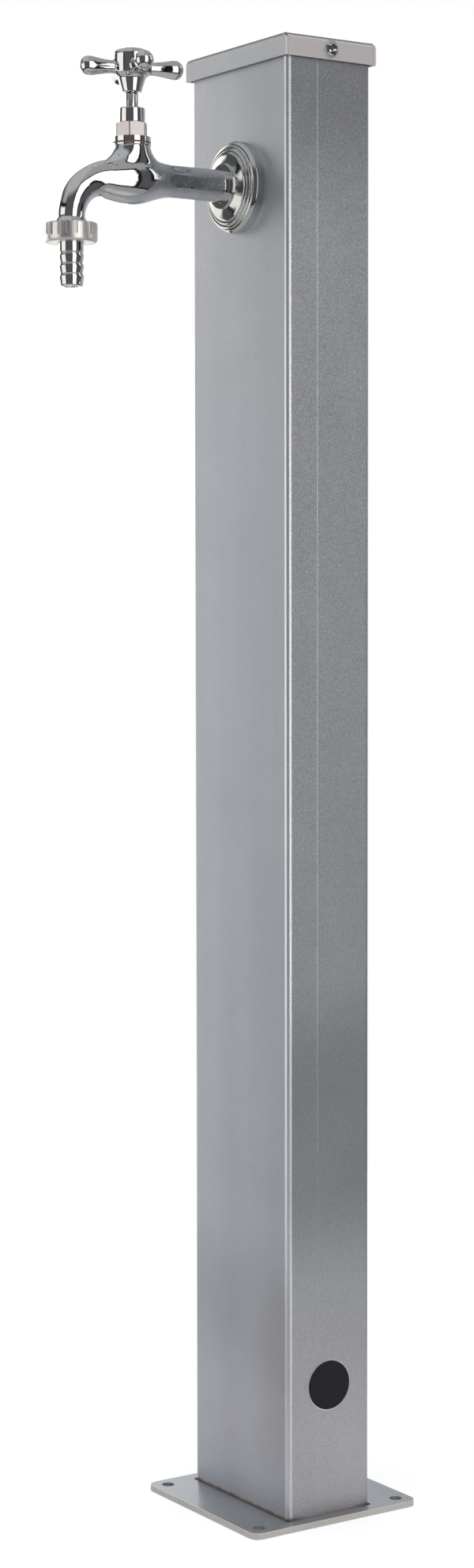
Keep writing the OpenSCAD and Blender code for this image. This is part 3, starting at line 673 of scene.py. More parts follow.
@dataclass(frozen=True)
class NutNickel(SatinMetal):
    """Cast nickel with painted shade in its grooves, so that the ridges stand out brighter."""

    axis_y: float = SPOUT_Y
    rim_r: float = 16.5

    def paint(self, graph: Graph) -> None:
        """Paints the nut.

        Args:
            graph: The graph to work in.
        """
        place = graph.place()
        x, y, _ = graph.parts(place)
        out = graph.reach(x, y - self.axis_y)
        groove = (out.rise(self.rim_r - 0.3, self.rim_r - 0.75)
                  * out.rise(self.rim_r - 2.6, self.rim_r - 2.0))
        skin = graph.noise(place, 1.1, 3.0)
        cloud = graph.noise(place, 5.0, 2.0, shift=2.0)
        # painted shade: the grooves are darker
        tone = 1.0 + skin * self.lines + cloud * 0.04 - groove * 0.16
        graph.surface(Base_Color=graph.shaded(self.colour, tone), Metallic=1.0,
                      Roughness=self.roughness + cloud * 0.05 + groove * 0.1,
                      Normal=graph.bump(skin, 0.02))


@dataclass(frozen=True)
class Moulded(Finish):
    """Plastic, rubber or fibre with a fine grain."""

    colour: Colour = (0.02, 0.02, 0.022)
    pale: Colour = (0.05, 0.05, 0.055)
    roughness: float = 0.6
    grain_size: float = 0.5
    relief: float = 0.02
    specular: float = 0.5

    def paint(self, graph: Graph) -> None:
        """Paints the moulding.

        Args:
            graph: The graph to work in.
        """
        place = graph.place()
        grain = graph.noise(place, self.grain_size, 3.0)
        cloud = graph.noise(place, 6.0, 2.0, shift=6.0)
        share = (grain * 0.5 + cloud * 0.3 + 0.5).clamped()
        graph.surface(Base_Color=graph.mix(share, self.colour, self.pale), Metallic=0.0,
                      Roughness=self.roughness + cloud * 0.06, Specular_IOR_Level=self.specular,
                      Normal=graph.bump(grain, self.relief))


@dataclass(frozen=True)
class WeldBead(Finish):
    """A weld left as it cooled, straw to brown, with ripples along it."""

    pale: Colour = (0.34, 0.27, 0.21)
    burnt: Colour = (0.10, 0.07, 0.06)

    def paint(self, graph: Graph) -> None:
        """Paints the bead.

        Args:
            graph: The graph to work in.
        """
        place = graph.place()
        blotch = graph.noise(place, 6.0, 3.0)
        ripple = graph.noise(place, 1.2, 1.0, shift=1.0)
        share = blotch.rise(-0.5, 0.5)
        graph.surface(Base_Color=graph.mix(share, self.burnt, self.pale), Metallic=0.85,
                      Roughness=0.5 + blotch * 0.1, Normal=graph.bump(ripple, 0.15))


POST_STEEL = PostSteel("post_sheet", roughness=0.45, speckle=0.13, speckle_size=0.75, clouds=0.05)
PLATE_STEEL = PlateSteel("plate_sheet", colour=(0.54, 0.57, 0.61), roughness=0.42, speckle=0.12,
                         clouds=0.09, lines=0.05, grain=Grain.LEVEL)
LID_STEEL = LidSteel("lid_sheet", colour=(0.715, 0.735, 0.77), roughness=0.50, speckle=0.03, lines=0.05)
INNER_STEEL = SheetSteel("plain_steel", colour=(0.62, 0.62, 0.63), roughness=0.3)
SCREW_STEEL = SatinMetal("screw_metal", colour=(0.74, 0.74, 0.75), roughness=0.08, lines=0.02)
CAST_CHROME = Chrome("cast_chrome", pits=0.005, skin=0.08)
TURNED_CHROME = Chrome("turned_chrome", swell=0.002, roughness=0.04)
HANDLE_CHROME = Chrome("handle_chrome", swell=0.008, swell_size=5.0, roughness=0.045)
ROSETTE_CHROME = Chrome("rosette_chrome", colour=(0.64, 0.65, 0.64), roughness=0.08, swell=0.035,
                        swell_size=5.0, pits=0.012)
HEADWORK = HeadworkMetal("headwork_metal", colour=(0.66, 0.605, 0.615), roughness=0.30)
CAST_NICKEL = NutNickel("cast_nickel", colour=(0.95, 0.915, 0.91), roughness=0.36)
BRASS = SatinMetal("machined_brass", colour=(0.72, 0.53, 0.26), roughness=0.24)
FIBRE = Moulded("red_fibre", colour=(0.15, 0.045, 0.035), pale=(0.24, 0.08, 0.06), roughness=0.75)
RUBBER = Moulded("black_rubber", colour=(0.015, 0.015, 0.016), pale=(0.03, 0.03, 0.03), roughness=0.7)
PACKING = Moulded("greased_packing", colour=(0.55, 0.52, 0.45), pale=(0.7, 0.68, 0.6), roughness=0.5)
BLACK_PLASTIC = Moulded("plug_plastic", colour=(0.006, 0.0055, 0.010), pale=(0.022, 0.0205, 0.032),
                        roughness=0.62, grain_size=0.6, relief=0.04, specular=0.36)
WELD = WeldBead("weld_bead")


# ---------------------------------------------------------------- shaping


def eased(points: Outline, radius: float, steps: int = 3, closed: bool = False) -> Outline:
    """Rounds the corners of an outline.

    Args:
        points: The corners in order.
        radius: The reach of each rounding along its two sides.
        steps: How many short sides make a rounding.
        closed: Whether the last corner joins the first.

    Returns:
        The rounded outline.
    """
    out: Outline = []
    count = len(points)
    for i, (u, v) in enumerate(points):
        if not closed and i in (0, count - 1):
            out.append((u, v))
            continue
        here = Vector((u, v))
        back = Vector(points[i - 1]) - here
        ahead = Vector(points[(i + 1) % count]) - here
        reach = min(radius, back.length * 0.45, ahead.length * 0.45)
        if back.length < 1e-6 or ahead.length < 1e-6 or abs(back.angle(ahead) - math.pi) < 0.09:
            out.append((u, v))
            continue
        start, end = here + back.normalized() * reach, here + ahead.normalized() * reach
        for k in range(steps + 1):
            s = k / steps
            spot = start * (1 - s) ** 2 + here * (2 * s * (1 - s)) + end * s * s
            out.append((spot.x, spot.y))
    return out


def flowing(points: Outline, steps: int = 4) -> Outline:
    """Draws a smooth line through points.

    Args:
        points: The points in order.
        steps: How many short sides go between two of them.

    Returns:
        The finer outline.
    """
    out: Outline = []
    count = len(points)
    for i in range(count - 1):
        a, b, c, d = (Vector(points[min(max(j, 0), count - 1)]) for j in (i - 1, i, i + 1, i + 2))
        for k in range(steps):
            s = k / steps
            spot = 0.5 * (2 * b + (c - a) * s + (2 * a - 5 * b + 4 * c - d) * s * s
                          + (3 * b - 3 * c + d - a) * s ** 3)
            out.append((max(spot.x, 0.0), spot.y))
    out.append(points[-1])
    return out


def once(elements: Iterable[Any]) -> list[Any]:
    """Lists elements once each, in the order that they come in."""
    return list(dict.fromkeys(elements))


def spot(point: Vector) -> tuple[float, float, float]:
    """A place to sort by, from below upwards, without its last digits."""
    return (round(point.z, 4), round(point.y, 4), round(point.x, 4))


class Form:
    """A mesh being shaped, in millimetres."""

    def __init__(self) -> None:
        """Starts an empty mesh."""
        self.bm = bmesh.new()

    @classmethod
    def machined(cls, node: bpy.types.Object, edge: float, sharper: float = 25.0) -> "Form":
        """Copies a solid's mesh and breaks its sharp edges.

        Args:
            node: The object of the solid.
            edge: How far each edge is broken, in millimetres.
            sharper: Edges that turn more than this, in degrees, are broken.

        Returns:
            The form.
        """
        form = cls()
        bm = form.bm
        bm.from_mesh(node.data)
        bmesh.ops.scale(bm, vec=(1 / MM,) * 3, verts=bm.verts)
        bmesh.ops.remove_doubles(bm, verts=bm.verts, dist=1e-3)
        bmesh.ops.dissolve_limit(bm, angle_limit=math.radians(0.5), verts=bm.verts, edges=bm.edges)
        sharp = [e for e in bm.edges if len(e.link_faces) == 2
                 and e.calc_face_angle(0.0) > math.radians(sharper)]
        bmesh.ops.bevel(bm, geom=sharp, offset=edge, offset_type="OFFSET", segments=2, profile=0.5,
                        affect="EDGES", clamp_overlap=True, material=-1)
        return form

    def turned(self, outline: Outline, steps: int = 96, closed: bool = False,
               about: tuple[float, float] = (0.0, 0.0)) -> list[bmesh.types.BMVert]:
        """Spins an outline about an upright axis.

        Args:
            outline: Radius and height of each point.
            steps: How many facets go round.
            closed: Whether the last point joins the first.
            about: X and Y of the axis.

        Returns:
            The new vertices.
        """
        bm = self.bm
        before = set(bm.verts)
        verts = [bm.verts.new((about[0] + r, about[1], z)) for r, z in outline]
        edges = [bm.edges.new(pair) for pair in zip(verts, verts[1:])]
        if closed:
            edges.append(bm.edges.new((verts[-1], verts[0])))
        bmesh.ops.spin(bm, geom=[*verts, *edges], cent=(about[0], about[1], 0.0), axis=(0, 0, 1),
                       dvec=(0, 0, 0), angle=math.tau, steps=steps, use_merge=True, use_duplicate=False)
        new = [v for v in bm.verts if v not in before]
        bmesh.ops.remove_doubles(bm, verts=new, dist=1e-4)
        new = [v for v in bm.verts if v not in before]
        bmesh.ops.dissolve_degenerate(bm, dist=1e-5, edges=once(e for v in new for e in v.link_edges))
        new = [v for v in bm.verts if v not in before]
        bmesh.ops.recalc_face_normals(bm, faces=once(f for v in new for f in v.link_faces))
        return new

    def swept(self, stations: Sequence[Matrix], sides: int = 48) -> list[bmesh.types.BMVert]:
        """Carries a ring through stations and closes both ends.

        Args:
            stations: Where the unit ring stands at each, and how large it is.
            sides: The ring's number of sides.

        Returns:
            The new vertices.
        """
        bm = self.bm
        before = set(bm.verts)
        ring = bmesh.ops.create_circle(bm, cap_ends=False, segments=sides, radius=1.0)["verts"]
        bmesh.ops.transform(bm, matrix=stations[0], verts=ring)
        edges = once(e for v in ring for e in v.link_edges)
        first = list(edges)
        for last, nxt in zip(stations, stations[1:]):
            out = bmesh.ops.extrude_edge_only(bm, edges=edges)["geom"]
            verts = [g for g in out if isinstance(g, bmesh.types.BMVert)]
            edges = [g for g in out if isinstance(g, bmesh.types.BMEdge)]
            edges = [e for e in edges if all(v in verts for v in e.verts)]
            bmesh.ops.transform(bm, matrix=nxt @ last.inverted(), verts=verts)
        for rim in (first, edges):
            bmesh.ops.edgeloop_fill(bm, edges=rim)
        new = [v for v in bm.verts if v not in before]
        bmesh.ops.recalc_face_normals(bm, faces=once(f for v in new for f in v.link_faces))
        return new

    def moved(self, matrix: Matrix, verts: Optional[Iterable[bmesh.types.BMVert]] = None) -> "Form":
        """Moves or turns vertices, or all of them.

        Args:
            matrix: The transform.
            verts: Which vertices, or all.

        Returns:
            This form.
        """
        bmesh.ops.transform(self.bm, matrix=matrix, verts=list(verts or self.bm.verts))
        return self

    def fused(self, cell: float, smooths: int) -> "Form":
        """Joins shells that overlap into one skin and smooths where they meet.

        Args:
            cell: The size of the skin's cells in millimetres.
            smooths: How many times it is smoothed.

        Returns:
            This form.
        """
        mesh = bpy.data.meshes.new("fusing")
        self.bm.to_mesh(mesh)
        thing = bpy.data.objects.new("fusing", mesh)
        bpy.context.scene.collection.objects.link(thing)
        skin = thing.modifiers.new("skin", "REMESH")
        skin.mode, skin.voxel_size, skin.adaptivity = "VOXEL", cell, 0.0
        ease = thing.modifiers.new("ease", "SMOOTH")
        ease.factor, ease.iterations = 0.5, smooths
        bpy.context.view_layer.update()
        found = thing.evaluated_get(bpy.context.evaluated_depsgraph_get())
        self.bm.clear()
        self.bm.from_mesh(found.to_mesh())
        found.to_mesh_clear()
        bpy.data.objects.remove(thing)
        bpy.data.meshes.remove(mesh)
        return self

    def settle(self) -> None:
        """Sorts the elements by where they are, so that every run writes them in the same order."""
        bm = self.bm
        places = ((bm.verts, lambda vert: vert.co),
                  (bm.edges, lambda edge: edge.verts[0].co + edge.verts[1].co),
                  (bm.faces, lambda face: face.calc_center_median()))
        for elements, place in places:
            for i, element in enumerate(sorted(elements, key=lambda held: spot(place(held)))):
                element.index = i
            elements.sort()

    def piece(self, name: str, body: Body, slot: str, finish: Finish, replaces: Sequence[str] = (),
              sharper: float = 40.0, weighted: bool = False) -> bpy.types.Object:
        """Turns the form into a piece of the object.

        Args:
            name: The piece's name.
            body: The moving part that it rides on.
            slot: The record's material slot; not used.
            finish: Its finish.
            replaces: The solids that it stands for.
            sharper: Edges that turn more than this, in degrees, stay sharp.
            weighted: Whether large flat faces keep flat shading next to broken edges.

        Returns:
            The object.
        """
        self.settle()
        bmesh.ops.scale(self.bm, vec=(MM,) * 3, verts=self.bm.verts)
        mesh = bpy.data.meshes.new(name)
        self.bm.to_mesh(mesh)
        self.bm.free()
        mesh.shade_smooth()
        mesh.set_sharp_from_angle(angle=math.radians(sharper))
        mesh.materials.append(finish.material())
        thing = bpy.data.objects.new(name, mesh)
        bpy.context.scene.collection.objects.link(thing)
        if weighted:
            level = thing.modifiers.new("flat_shading", "WEIGHTED_NORMAL")
            level.keep_sharp = True
        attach(thing, body.value)
        if replaces:
            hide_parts(*replaces)
        LOG.info("%s: %d faces on %s", name, len(mesh.polygons), body.value)
        return thing


def dress(frame: dict[str, Any], finish: Finish, *names: str) -> None:
    """Gives solids that stay a finish.

    Args:
        frame: The loaded frame.
        finish: The finish.
        names: The solids' names.
    """
    for name in names:
        node = frame["nodes"][name]
        if not node.material_slots:
            node.data.materials.append(None)
        for held in node.material_slots:
            held.material = finish.material()
        LOG.info("%s: dressed in %s", name, finish.name)


def thread_outline(r: float, foot: float, top: float, pitch: float, deep: float) -> Outline:
    """The side of a threaded rod, as rings.

    Args:
        r: The radius over the crests.
        foot: The height of its foot.
        top: The height of its top.
        pitch: The height of a turn.
        deep: How deep the roots are.

    Returns:
        Radius and height of each point, upwards.
    """
    turns = max(1, int((top - foot) / pitch))
    step = (top - foot) / turns
    out: Outline = [(r - deep, foot)]
    for i in range(turns):
        z = foot + i * step
        out += [(r - deep, z + step * 0.12), (r, z + step * 0.42), (r, z + step * 0.58),
                (r - deep, z + step * 0.88)]
    return out + [(r - deep, top)]


# ---------------------------------------------------------------- sub-assemblies


@dataclass
class Post:
    """The post with its plate, weld, lid, lid screws and inlet plug. Sizes in millimetres."""

    frame: dict[str, Any]
    width: float = 110.0
    plate_edge: float = 0.5
    lid_edge: float = 0.28
    lid_w: float = 115.0
    screw_z: float = 943.1
    head_d: float = 10.5
    head_h: float = 3.3
    shank_d: float = 6.0
    shank_l: float = 10.0
    socket: float = 4.0
    socket_deep: float = 2.0
    plug_z: float = PLUG_Z
    plug_r: float = 15.9
    plug_t: float = 1.2
    barrel_r: float = 13.95
    barrel_l: float = 8.0
    barrel_wall: float = 1.9

    def build(self) -> None:
        """Builds and dresses every piece."""
        self.sheets()
        self.screws()
        self.plug()
        dress(self.frame, POST_STEEL, "post")
        dress(self.frame, WELD, "foot_weld")
        dress(self.frame, SCREW_STEEL, "lid_nuts")

    def sheets(self) -> None:
        """Makes the plate and the lid with broken edges."""
        plate = Form.machined(self.frame["nodes"]["base_plate"], self.plate_edge)
        plate.piece("plate", Body.POST, "plate_steel", PLATE_STEEL, ["base_plate"], weighted=True)
        lid = Form.machined(self.frame["nodes"]["lid"], self.lid_edge, 40.0)
        lid.piece("folded_lid", Body.POST, "lid_steel", LID_STEEL, ["lid"], 35.0, weighted=True)

    def screws(self) -> None:
        """Makes the two button-head screws."""
        form = Form()
        for side in (-1, 1):
            verts = self.screw(form)
            form.moved(Matrix.Translation((side * self.lid_w / 2, 0.0, self.screw_z))
                       @ Matrix.Rotation(side * math.pi / 2, 4, "Y"), verts)
        form.piece("button_screws", Body.POST, "screw_steel", SCREW_STEEL, ["lid_screws"])

    def screw(self, form: Form) -> list[bmesh.types.BMVert]:
        """Adds one screw that points down, with its seat at height 0.

        Args:
            form: The form to add it to.

        Returns:
            Its vertices.
        """
        r, h = self.head_d / 2, self.head_h
        dome = [(r * math.cos(a), 0.35 + (h - 0.35) * math.sin(a))
                for a in (math.radians(x) for x in range(0, 61, 8))]
        well = self.socket / 2 + 0.35
        outline = [(0.0, -self.shank_l), (self.shank_d / 2 - 0.5, -self.shank_l),
                   (self.shank_d / 2, -self.shank_l + 0.5), (self.shank_d / 2, 0.0), (r - 0.15, 0.0),
                   (r, 0.15), *dome, (well, h - 0.05), (well - 0.25, h - 0.3)]
        before = set(form.bm.verts)
        form.turned(outline, 48)
        # the hexagon socket hangs in the head's round mouth
        hexagon = bmesh.ops.create_circle(form.bm, cap_ends=True, segments=6, radius=self.socket / 1.8)
        form.moved(Matrix.Translation((0, 0, h - 0.45)), hexagon["verts"])
        faces = once(f for v in hexagon["verts"] for f in v.link_faces)
        floor = bmesh.ops.extrude_discrete_faces(form.bm, faces=faces)["faces"]
        form.moved(Matrix.Translation((0, 0, 0.45 - self.socket_deep)),
                   once(v for f in floor for v in f.verts))
        return [v for v in form.bm.verts if v not in before]

    def plug(self) -> None:
        """Makes the push-in plug with its hollow barrel."""
        wall = self.barrel_r - self.barrel_wall
        outline = eased([(0.0, self.plug_t), (self.plug_r - 0.55, self.plug_t),
                         (self.plug_r, self.plug_t * 0.45), (self.plug_r, 0.0), (self.barrel_r, 0.0),
                         (self.barrel_r, -self.barrel_l), (wall, -self.barrel_l), (wall, -0.2),
                         (0.0, -0.2)], 0.25)
        form = Form()
        form.turned(outline, 96)
        form.moved(Matrix.Translation((self.width / 2, 0.0, self.plug_z))
                   @ Matrix.Rotation(math.pi / 2, 4, "Y"))
        form.piece("push_plug", Body.PLUG, "black_plastic", BLACK_PLASTIC, ["inlet_plug"])


@dataclass
class Tap:
    """The cast tap with its rosette, fibre washer, headwork and gland nut. Sizes in millimetres."""

    frame: dict[str, Any]
    face_y: float = -32.5
    tap_z: float = 860.5
    spindle_y: float = SPINDLE_Y
    spout_y: float = SPOUT_Y
    pipe_r: float = 10.0
    shank_y: float = -38.2
    swell: float = 5.0
    swell_half: float = 29.0
    swell_long: float = 34.0
    sink: float = 2.5
    bend_r: float = 25.0
    spout_r: float = 8.4
    neck_r: float = 11.8
    neck_top: float = 881.4
    neck_spread: float = 9.0
    rim_h: float = 1.4
    flare_r: float = 11.0
    thread_r: float = 13.2
    thread_top: float = 829.3
    thread_foot: float = 823.7
    thread_pitch: float = 1.814
    bore_r: float = 5.5
    cell: float = 0.5
    lost: float = 0.3
    smooths: int = 70
    rosette_r: float = 29.0
    rosette_h: float = 13.6
    collar_r: float = 14.3
    washer: tuple[float, float] = (8.4, 11.9)
    washer_z: tuple[float, float] = (881.4, 882.2)
    gland: tuple[float, float] = (4.3, 8.3)
    gland_z: tuple[float, float] = (894.2, 903.4)

    def build(self) -> None:
        """Builds and dresses every piece."""
        self.casting()
        self.rosette()
        self.headwork()

    def ring(self, y: float, z: float, rx: float, rz: float, turn: float) -> Matrix:
        """Where a ring of the casting stands.

        Args:
            y: Its middle's Y.
            z: Its middle's height.
            rx: Its half width.
            rz: Its half height.
            turn: How far it is tipped from upright, in degrees.

        Returns:
            The transform of a unit ring.
        """
        upright = Matrix.Rotation(math.radians(90 + turn), 4, "X")
        return Matrix.Translation((0.0, y, z)) @ upright @ Matrix.Diagonal((rx, rz, 1.0, 1.0))

    def swollen(self, along: float) -> float:
        """How far the belly stands out beyond the pipe.

        Args:
            along: The way from the spindle's axis, towards the spout.

        Returns:
            The extra radius.
        """
        half = self.swell_half if along < 0 else self.swell_long
        return self.swell * math.cos(min(abs(along) / half, 1.0) * math.pi / 2) ** 2

    def pipe(self) -> list[Matrix]:
        """The rings of the pipe, from the shank through the belly and round the spout.

        Returns:
            Where each ring stands.
        """
        start = self.spindle_y + self.swell_half
        bend_y = self.spout_y + self.bend_r
        bend_z = self.tap_z - self.sink - self.bend_r
        full = self.pipe_r + self.lost
        rings = [self.ring(y, self.tap_z, full, full, 0.0) for y in (self.shank_y, -60.0, start + 3.0)]
        steps = 36
        for i in range(steps):
            s = i / steps
            y = start + (bend_y - start) * s
            r = full + self.swollen(self.spindle_y - y)
            z = self.tap_z - self.sink * (3 * s * s - 2 * s ** 3)
            rings.append(self.ring(y, z, r, r, 0.0))
        steps = 22
        for i in range(steps + 1):
            s = i / steps
            a = s * math.pi / 2
            r = (full + (self.spout_r - self.pipe_r) * s
                 + self.swollen(self.spindle_y - bend_y + self.bend_r * a))
            rings.append(self.ring(bend_y - self.bend_r * math.sin(a), bend_z + self.bend_r * math.cos(a),
                                   r, r, math.degrees(a)))
        return rings

    def neck(self) -> list[Matrix]:
        """The rings of the neck, from its rim down into the belly.

        Returns:
            Where each ring stands.
        """
        foot = self.tap_z + self.pipe_r * 0.2
        tops = []
        steps = 16
        for i in range(steps + 1):
            s = i / steps
            z = self.neck_top - 0.5 - (self.neck_top - 0.5 - foot) * s
            wide = self.neck_r + self.neck_spread * min(s / 0.62, 1.15) ** 2.4
            across = self.neck_r + 0.9 * s * s
            tops.append(Matrix.Translation((0.0, self.spindle_y, z))
                        @ Matrix.Diagonal((across, wide, 1.0, 1.0)))
        return tops

    def mouth(self) -> Outline:
        """The outline of the spout's flare over the thread.

        Returns:
            Radius and height of each point.
        """
        top, r = self.thread_top, self.spout_r
        h = self.tap_z - self.sink - self.bend_r + 1.0 - top
        flare = flowing([(0.0, top + h * 1.05), (r * 0.98, top + h), (r * 1.02, top + h * 0.72),
                         (r * 1.09, top + h * 0.46), (r * 1.2, top + h * 0.26),
                         (self.flare_r * 0.98, top + h * 0.1), (self.flare_r, top)])
        return [*flare, (self.flare_r, top - 0.6), (0.0, top - 0.6)]

    def casting(self) -> None:
        """Makes the cast body, its machined rim and the hose thread."""
        form = Form()
        form.swept(self.pipe(), 56)
        form.swept(self.neck(), 56)
        form.turned(self.mouth(), 64, about=(0.0, self.spout_y))
        form.fused(self.cell, self.smooths)
        rim_foot = self.neck_top - self.rim_h
        rim = eased([(self.neck_r - 2.2, rim_foot), (self.neck_r + 0.25, rim_foot),
                     (self.neck_r + 0.25, self.neck_top), (self.neck_r - 3.4, self.neck_top)], 0.3)
        form.turned(rim, 96, about=(0.0, self.spindle_y))
        sides = thread_outline(self.thread_r, self.thread_foot + 0.5, self.thread_top - 0.4,
                               self.thread_pitch, 1.0)
        lathe = [(self.bore_r, self.thread_top), (self.bore_r, self.thread_foot),
                 (self.thread_r - 1.1, self.thread_foot), *sides, (self.flare_r - 0.6, self.thread_top)]
        form.turned(lathe, 96, about=(0.0, self.spout_y))
        form.piece("cast_tap", Body.POST, "chrome", CAST_CHROME, ["tap_body"], 50.0)

    def rosette(self) -> None:
        """Makes the pressed rosette against the post."""
        r, h, collar = self.rosette_r, self.rosette_h, self.collar_r
        shares = [(1.0, 0.0), (1.0, 0.27), (0.995, 0.34), (0.965, 0.42), (0.94, 0.475), (0.918, 0.49),
                  (0.905, 0.50), (0.897, 0.535), (0.87, 0.575), (0.845, 0.575), (0.828, 0.565),
                  (0.818, 0.60), (0.79, 0.645), (0.762, 0.65), (0.748, 0.64), (0.738, 0.675),
                  (0.70, 0.715), (0.66, 0.74), (0.60, 0.778), (0.55, 0.815)]
        face = flowing([(s * r, t * h) for s, t in shares], 3)
        top = eased([(0.55 * r, 0.815 * h), (collar, h * 0.86), (collar, h - 0.1), (self.pipe_r + 0.08, h),
                     (self.pipe_r + 0.08, h - 2.0)], 0.45, 4)
        under = [(collar - 0.9, h * 0.76), (0.66 * r, 0.735 * h - 0.9), (0.89 * r, 0.5 * h - 0.9),
                 (r - 0.9, 0.24 * h), (r - 0.9, 0.0)]
        form = Form()
        form.turned([*face, *top[1:], *under], 160, closed=True)
        form.moved(Matrix.Translation((0.0, self.face_y, self.tap_z))
                   @ Matrix.Rotation(math.pi / 2, 4, "X"))
        form.piece("pressed_rosette", Body.POST, "chrome", ROSETTE_CHROME, ["wall_rosette"], 55.0)

    def band_of(self, radii: tuple[float, float], heights: tuple[float, float], round_r: float,
                steps: int) -> Form:
        """Turns a plain ring about the spindle's axis.

        Args:
            radii: Its inner and outer radius.
            heights: Its foot and top.
            round_r: How far its corners are rounded.
            steps: How finely.

        Returns:
            The form.
        """
        (inner, outer), (foot, top) = radii, heights
        form = Form()
        form.turned(eased([(inner, foot), (outer, foot), (outer, top), (inner, top)], round_r, steps, True),
                    96, True, (0.0, self.spindle_y))
        return form

    def headwork(self) -> None:
        """Makes the fibre washer, the headwork and the gland nut."""
        washer = self.band_of(self.washer, self.washer_z, 0.15, 2)
        washer.piece("fibre_washer", Body.POST, "fibre", FIBRE, ["bonnet_washer"])
        bonnet = Form.machined(self.frame["nodes"]["bonnet"], 0.45, 30.0)
        bonnet.piece("headwork", Body.POST, "satin_nickel", HEADWORK, ["bonnet"], 35.0, weighted=True)
        gland = self.band_of(self.gland, self.gland_z, 0.8, 4)
        gland.piece("gland_cap_nut", Body.POST, "chrome", TURNED_CHROME, ["gland_nut"])


@dataclass
class Handle:
    """The spindle, the cross handle and its cap. Sizes in millimetres."""

    frame: dict[str, Any]
    spindle_y: float = SPINDLE_Y
    hub_z: float = 913.2
    hub_h: float = 23.3
    hub_r: float = 12.0
    foot_r: float = 6.2
    dome_h: float = 4.5
    arm_reach: float = 33.8
    arm_r: float = 6.05
    root_r: float = 4.2
    arm_rise: float = 15.2
    turned_by: float = -15.6
    cap_r: float = 9.84
    cell: float = 0.36
    smooths: int = 10
    spindle_foot: float = 866.8
    spindle_top: float = 928.4
    thread_foot: float = 867.3
    thread_top: float = 879.3
    thread_r: float = 5.5
    thread_pitch: float = 2.0
    thread_deep: float = 0.7
    rod_r: float = 4.0
    guide_r: float = 2.55
    guide_top: float = 874.5
    screw_r: float = 2.1
    screw_foot: float = 920.0

    def build(self) -> None:
        """Builds and dresses every piece."""
        self.cross()
        self.cap()
        self.spindle()
        dress(self.frame, SCREW_STEEL, "handle_screw")

    def seat(self) -> Matrix:
        """Where the hub's foot stands."""
        return (Matrix.Translation((0.0, self.spindle_y, self.hub_z))
                @ Matrix.Rotation(math.radians(self.turned_by), 4, "Z"))

    def cross(self) -> None:
        """Makes the hub and its four arms as one casting."""
        form = Form()
        r, foot, dome = self.hub_r, self.foot_r, self.dome_h
        waist = foot + (r - foot) * 0.42
        shoulder = self.arm_rise - self.root_r
        side = flowing([(foot - 0.45, 0.0), (foot, 0.5), (waist, shoulder * 0.75),
                        (waist + (r - waist) * 0.2, shoulder * 0.84),
                        (waist + (r - waist) * 0.55, shoulder * 0.935),
                        (waist + (r - waist) * 0.85, shoulder * 1.01), (r, shoulder * 1.13),
                        (r, self.hub_h - dome * 0.2), (r * 0.975, self.hub_h + dome * 0.12),
                        (r * 0.9, self.hub_h + dome * 0.4), (self.cap_r, self.hub_h + dome * 0.52)], 4)
        form.turned([(0.0, 0.0), *side, (0.0, self.hub_h + dome * 0.52)], 72)
        shares = [(0.2, 0.7), (0.36, 0.69), (0.47, 0.71), (0.56, 0.775), (0.65, 0.86), (0.74, 0.955),
                  (0.815, 1.0), (0.875, 0.96), (0.93, 0.8), (0.97, 0.55), (0.992, 0.28), (1.0, 0.0)]
        arm = flowing([(0.0, 0.05 * self.arm_reach), (self.root_r, 0.06 * self.arm_reach),
                       *[(t * self.arm_r, s * self.arm_reach) for s, t in shares]], 3)
        for k in range(4):
            verts = form.turned([*arm[:-1], (0.0, self.arm_reach)], 40)
            form.moved(Matrix.Rotation(k * math.pi / 2, 4, "Z") @ Matrix.Translation((0, 0, self.arm_rise))
                       @ Matrix.Rotation(math.pi / 2, 4, "Y"), verts)
        form.fused(self.cell, self.smooths)
        form.moved(self.seat())
        form.piece("cross_casting", Body.HANDLE, "chrome", HANDLE_CHROME, ["cross_handle"], 60.0)

    def cap(self) -> None:
        """Makes the domed cap with a fine groove round it."""
        edge = self.hub_h + self.dome_h * 0.52
        rise = self.dome_h * 0.48
        dome = (self.cap_r ** 2 + rise ** 2) / (2 * rise)
        crown = []
        for i in range(13):
            r = self.cap_r * 0.965 * (1 - i / 12)
            crown.append((r, edge + rise - dome + math.sqrt(dome ** 2 - r * r) + 0.02))
        outline = [(0.0, edge - 1.4), (self.cap_r - 0.2, edge - 1.4), (self.cap_r - 0.2, edge - 0.25),
                   (self.cap_r * 0.985, edge - 0.02), *crown]
        form = Form()
        form.turned(outline, 96)
        form.moved(self.seat())
        form.piece("domed_cap", Body.HANDLE, "chrome", HANDLE_CHROME, ["handle_cap"], 50.0)

    def spindle(self) -> None:
        """Makes the spindle with its coarse thread."""
        thread = thread_outline(self.thread_r, self.thread_foot, self.thread_top, self.thread_pitch,
                                self.thread_deep)
        outline = [(self.guide_r, self.spindle_foot), (self.rod_r + 0.7, self.spindle_foot), *thread,
                   (self.rod_r, self.thread_top + 0.3), (self.rod_r, self.spindle_top - 0.6),
                   (self.rod_r - 0.6, self.spindle_top), (self.screw_r, self.spindle_top),
                   (self.screw_r, self.screw_foot), (self.guide_r, self.guide_top)]
        form = Form()
        form.turned(outline, 72, True, (0.0, self.spindle_y))
        form.piece("threaded_spindle", Body.HANDLE, "chrome", TURNED_CHROME, ["spindle"], 50.0)


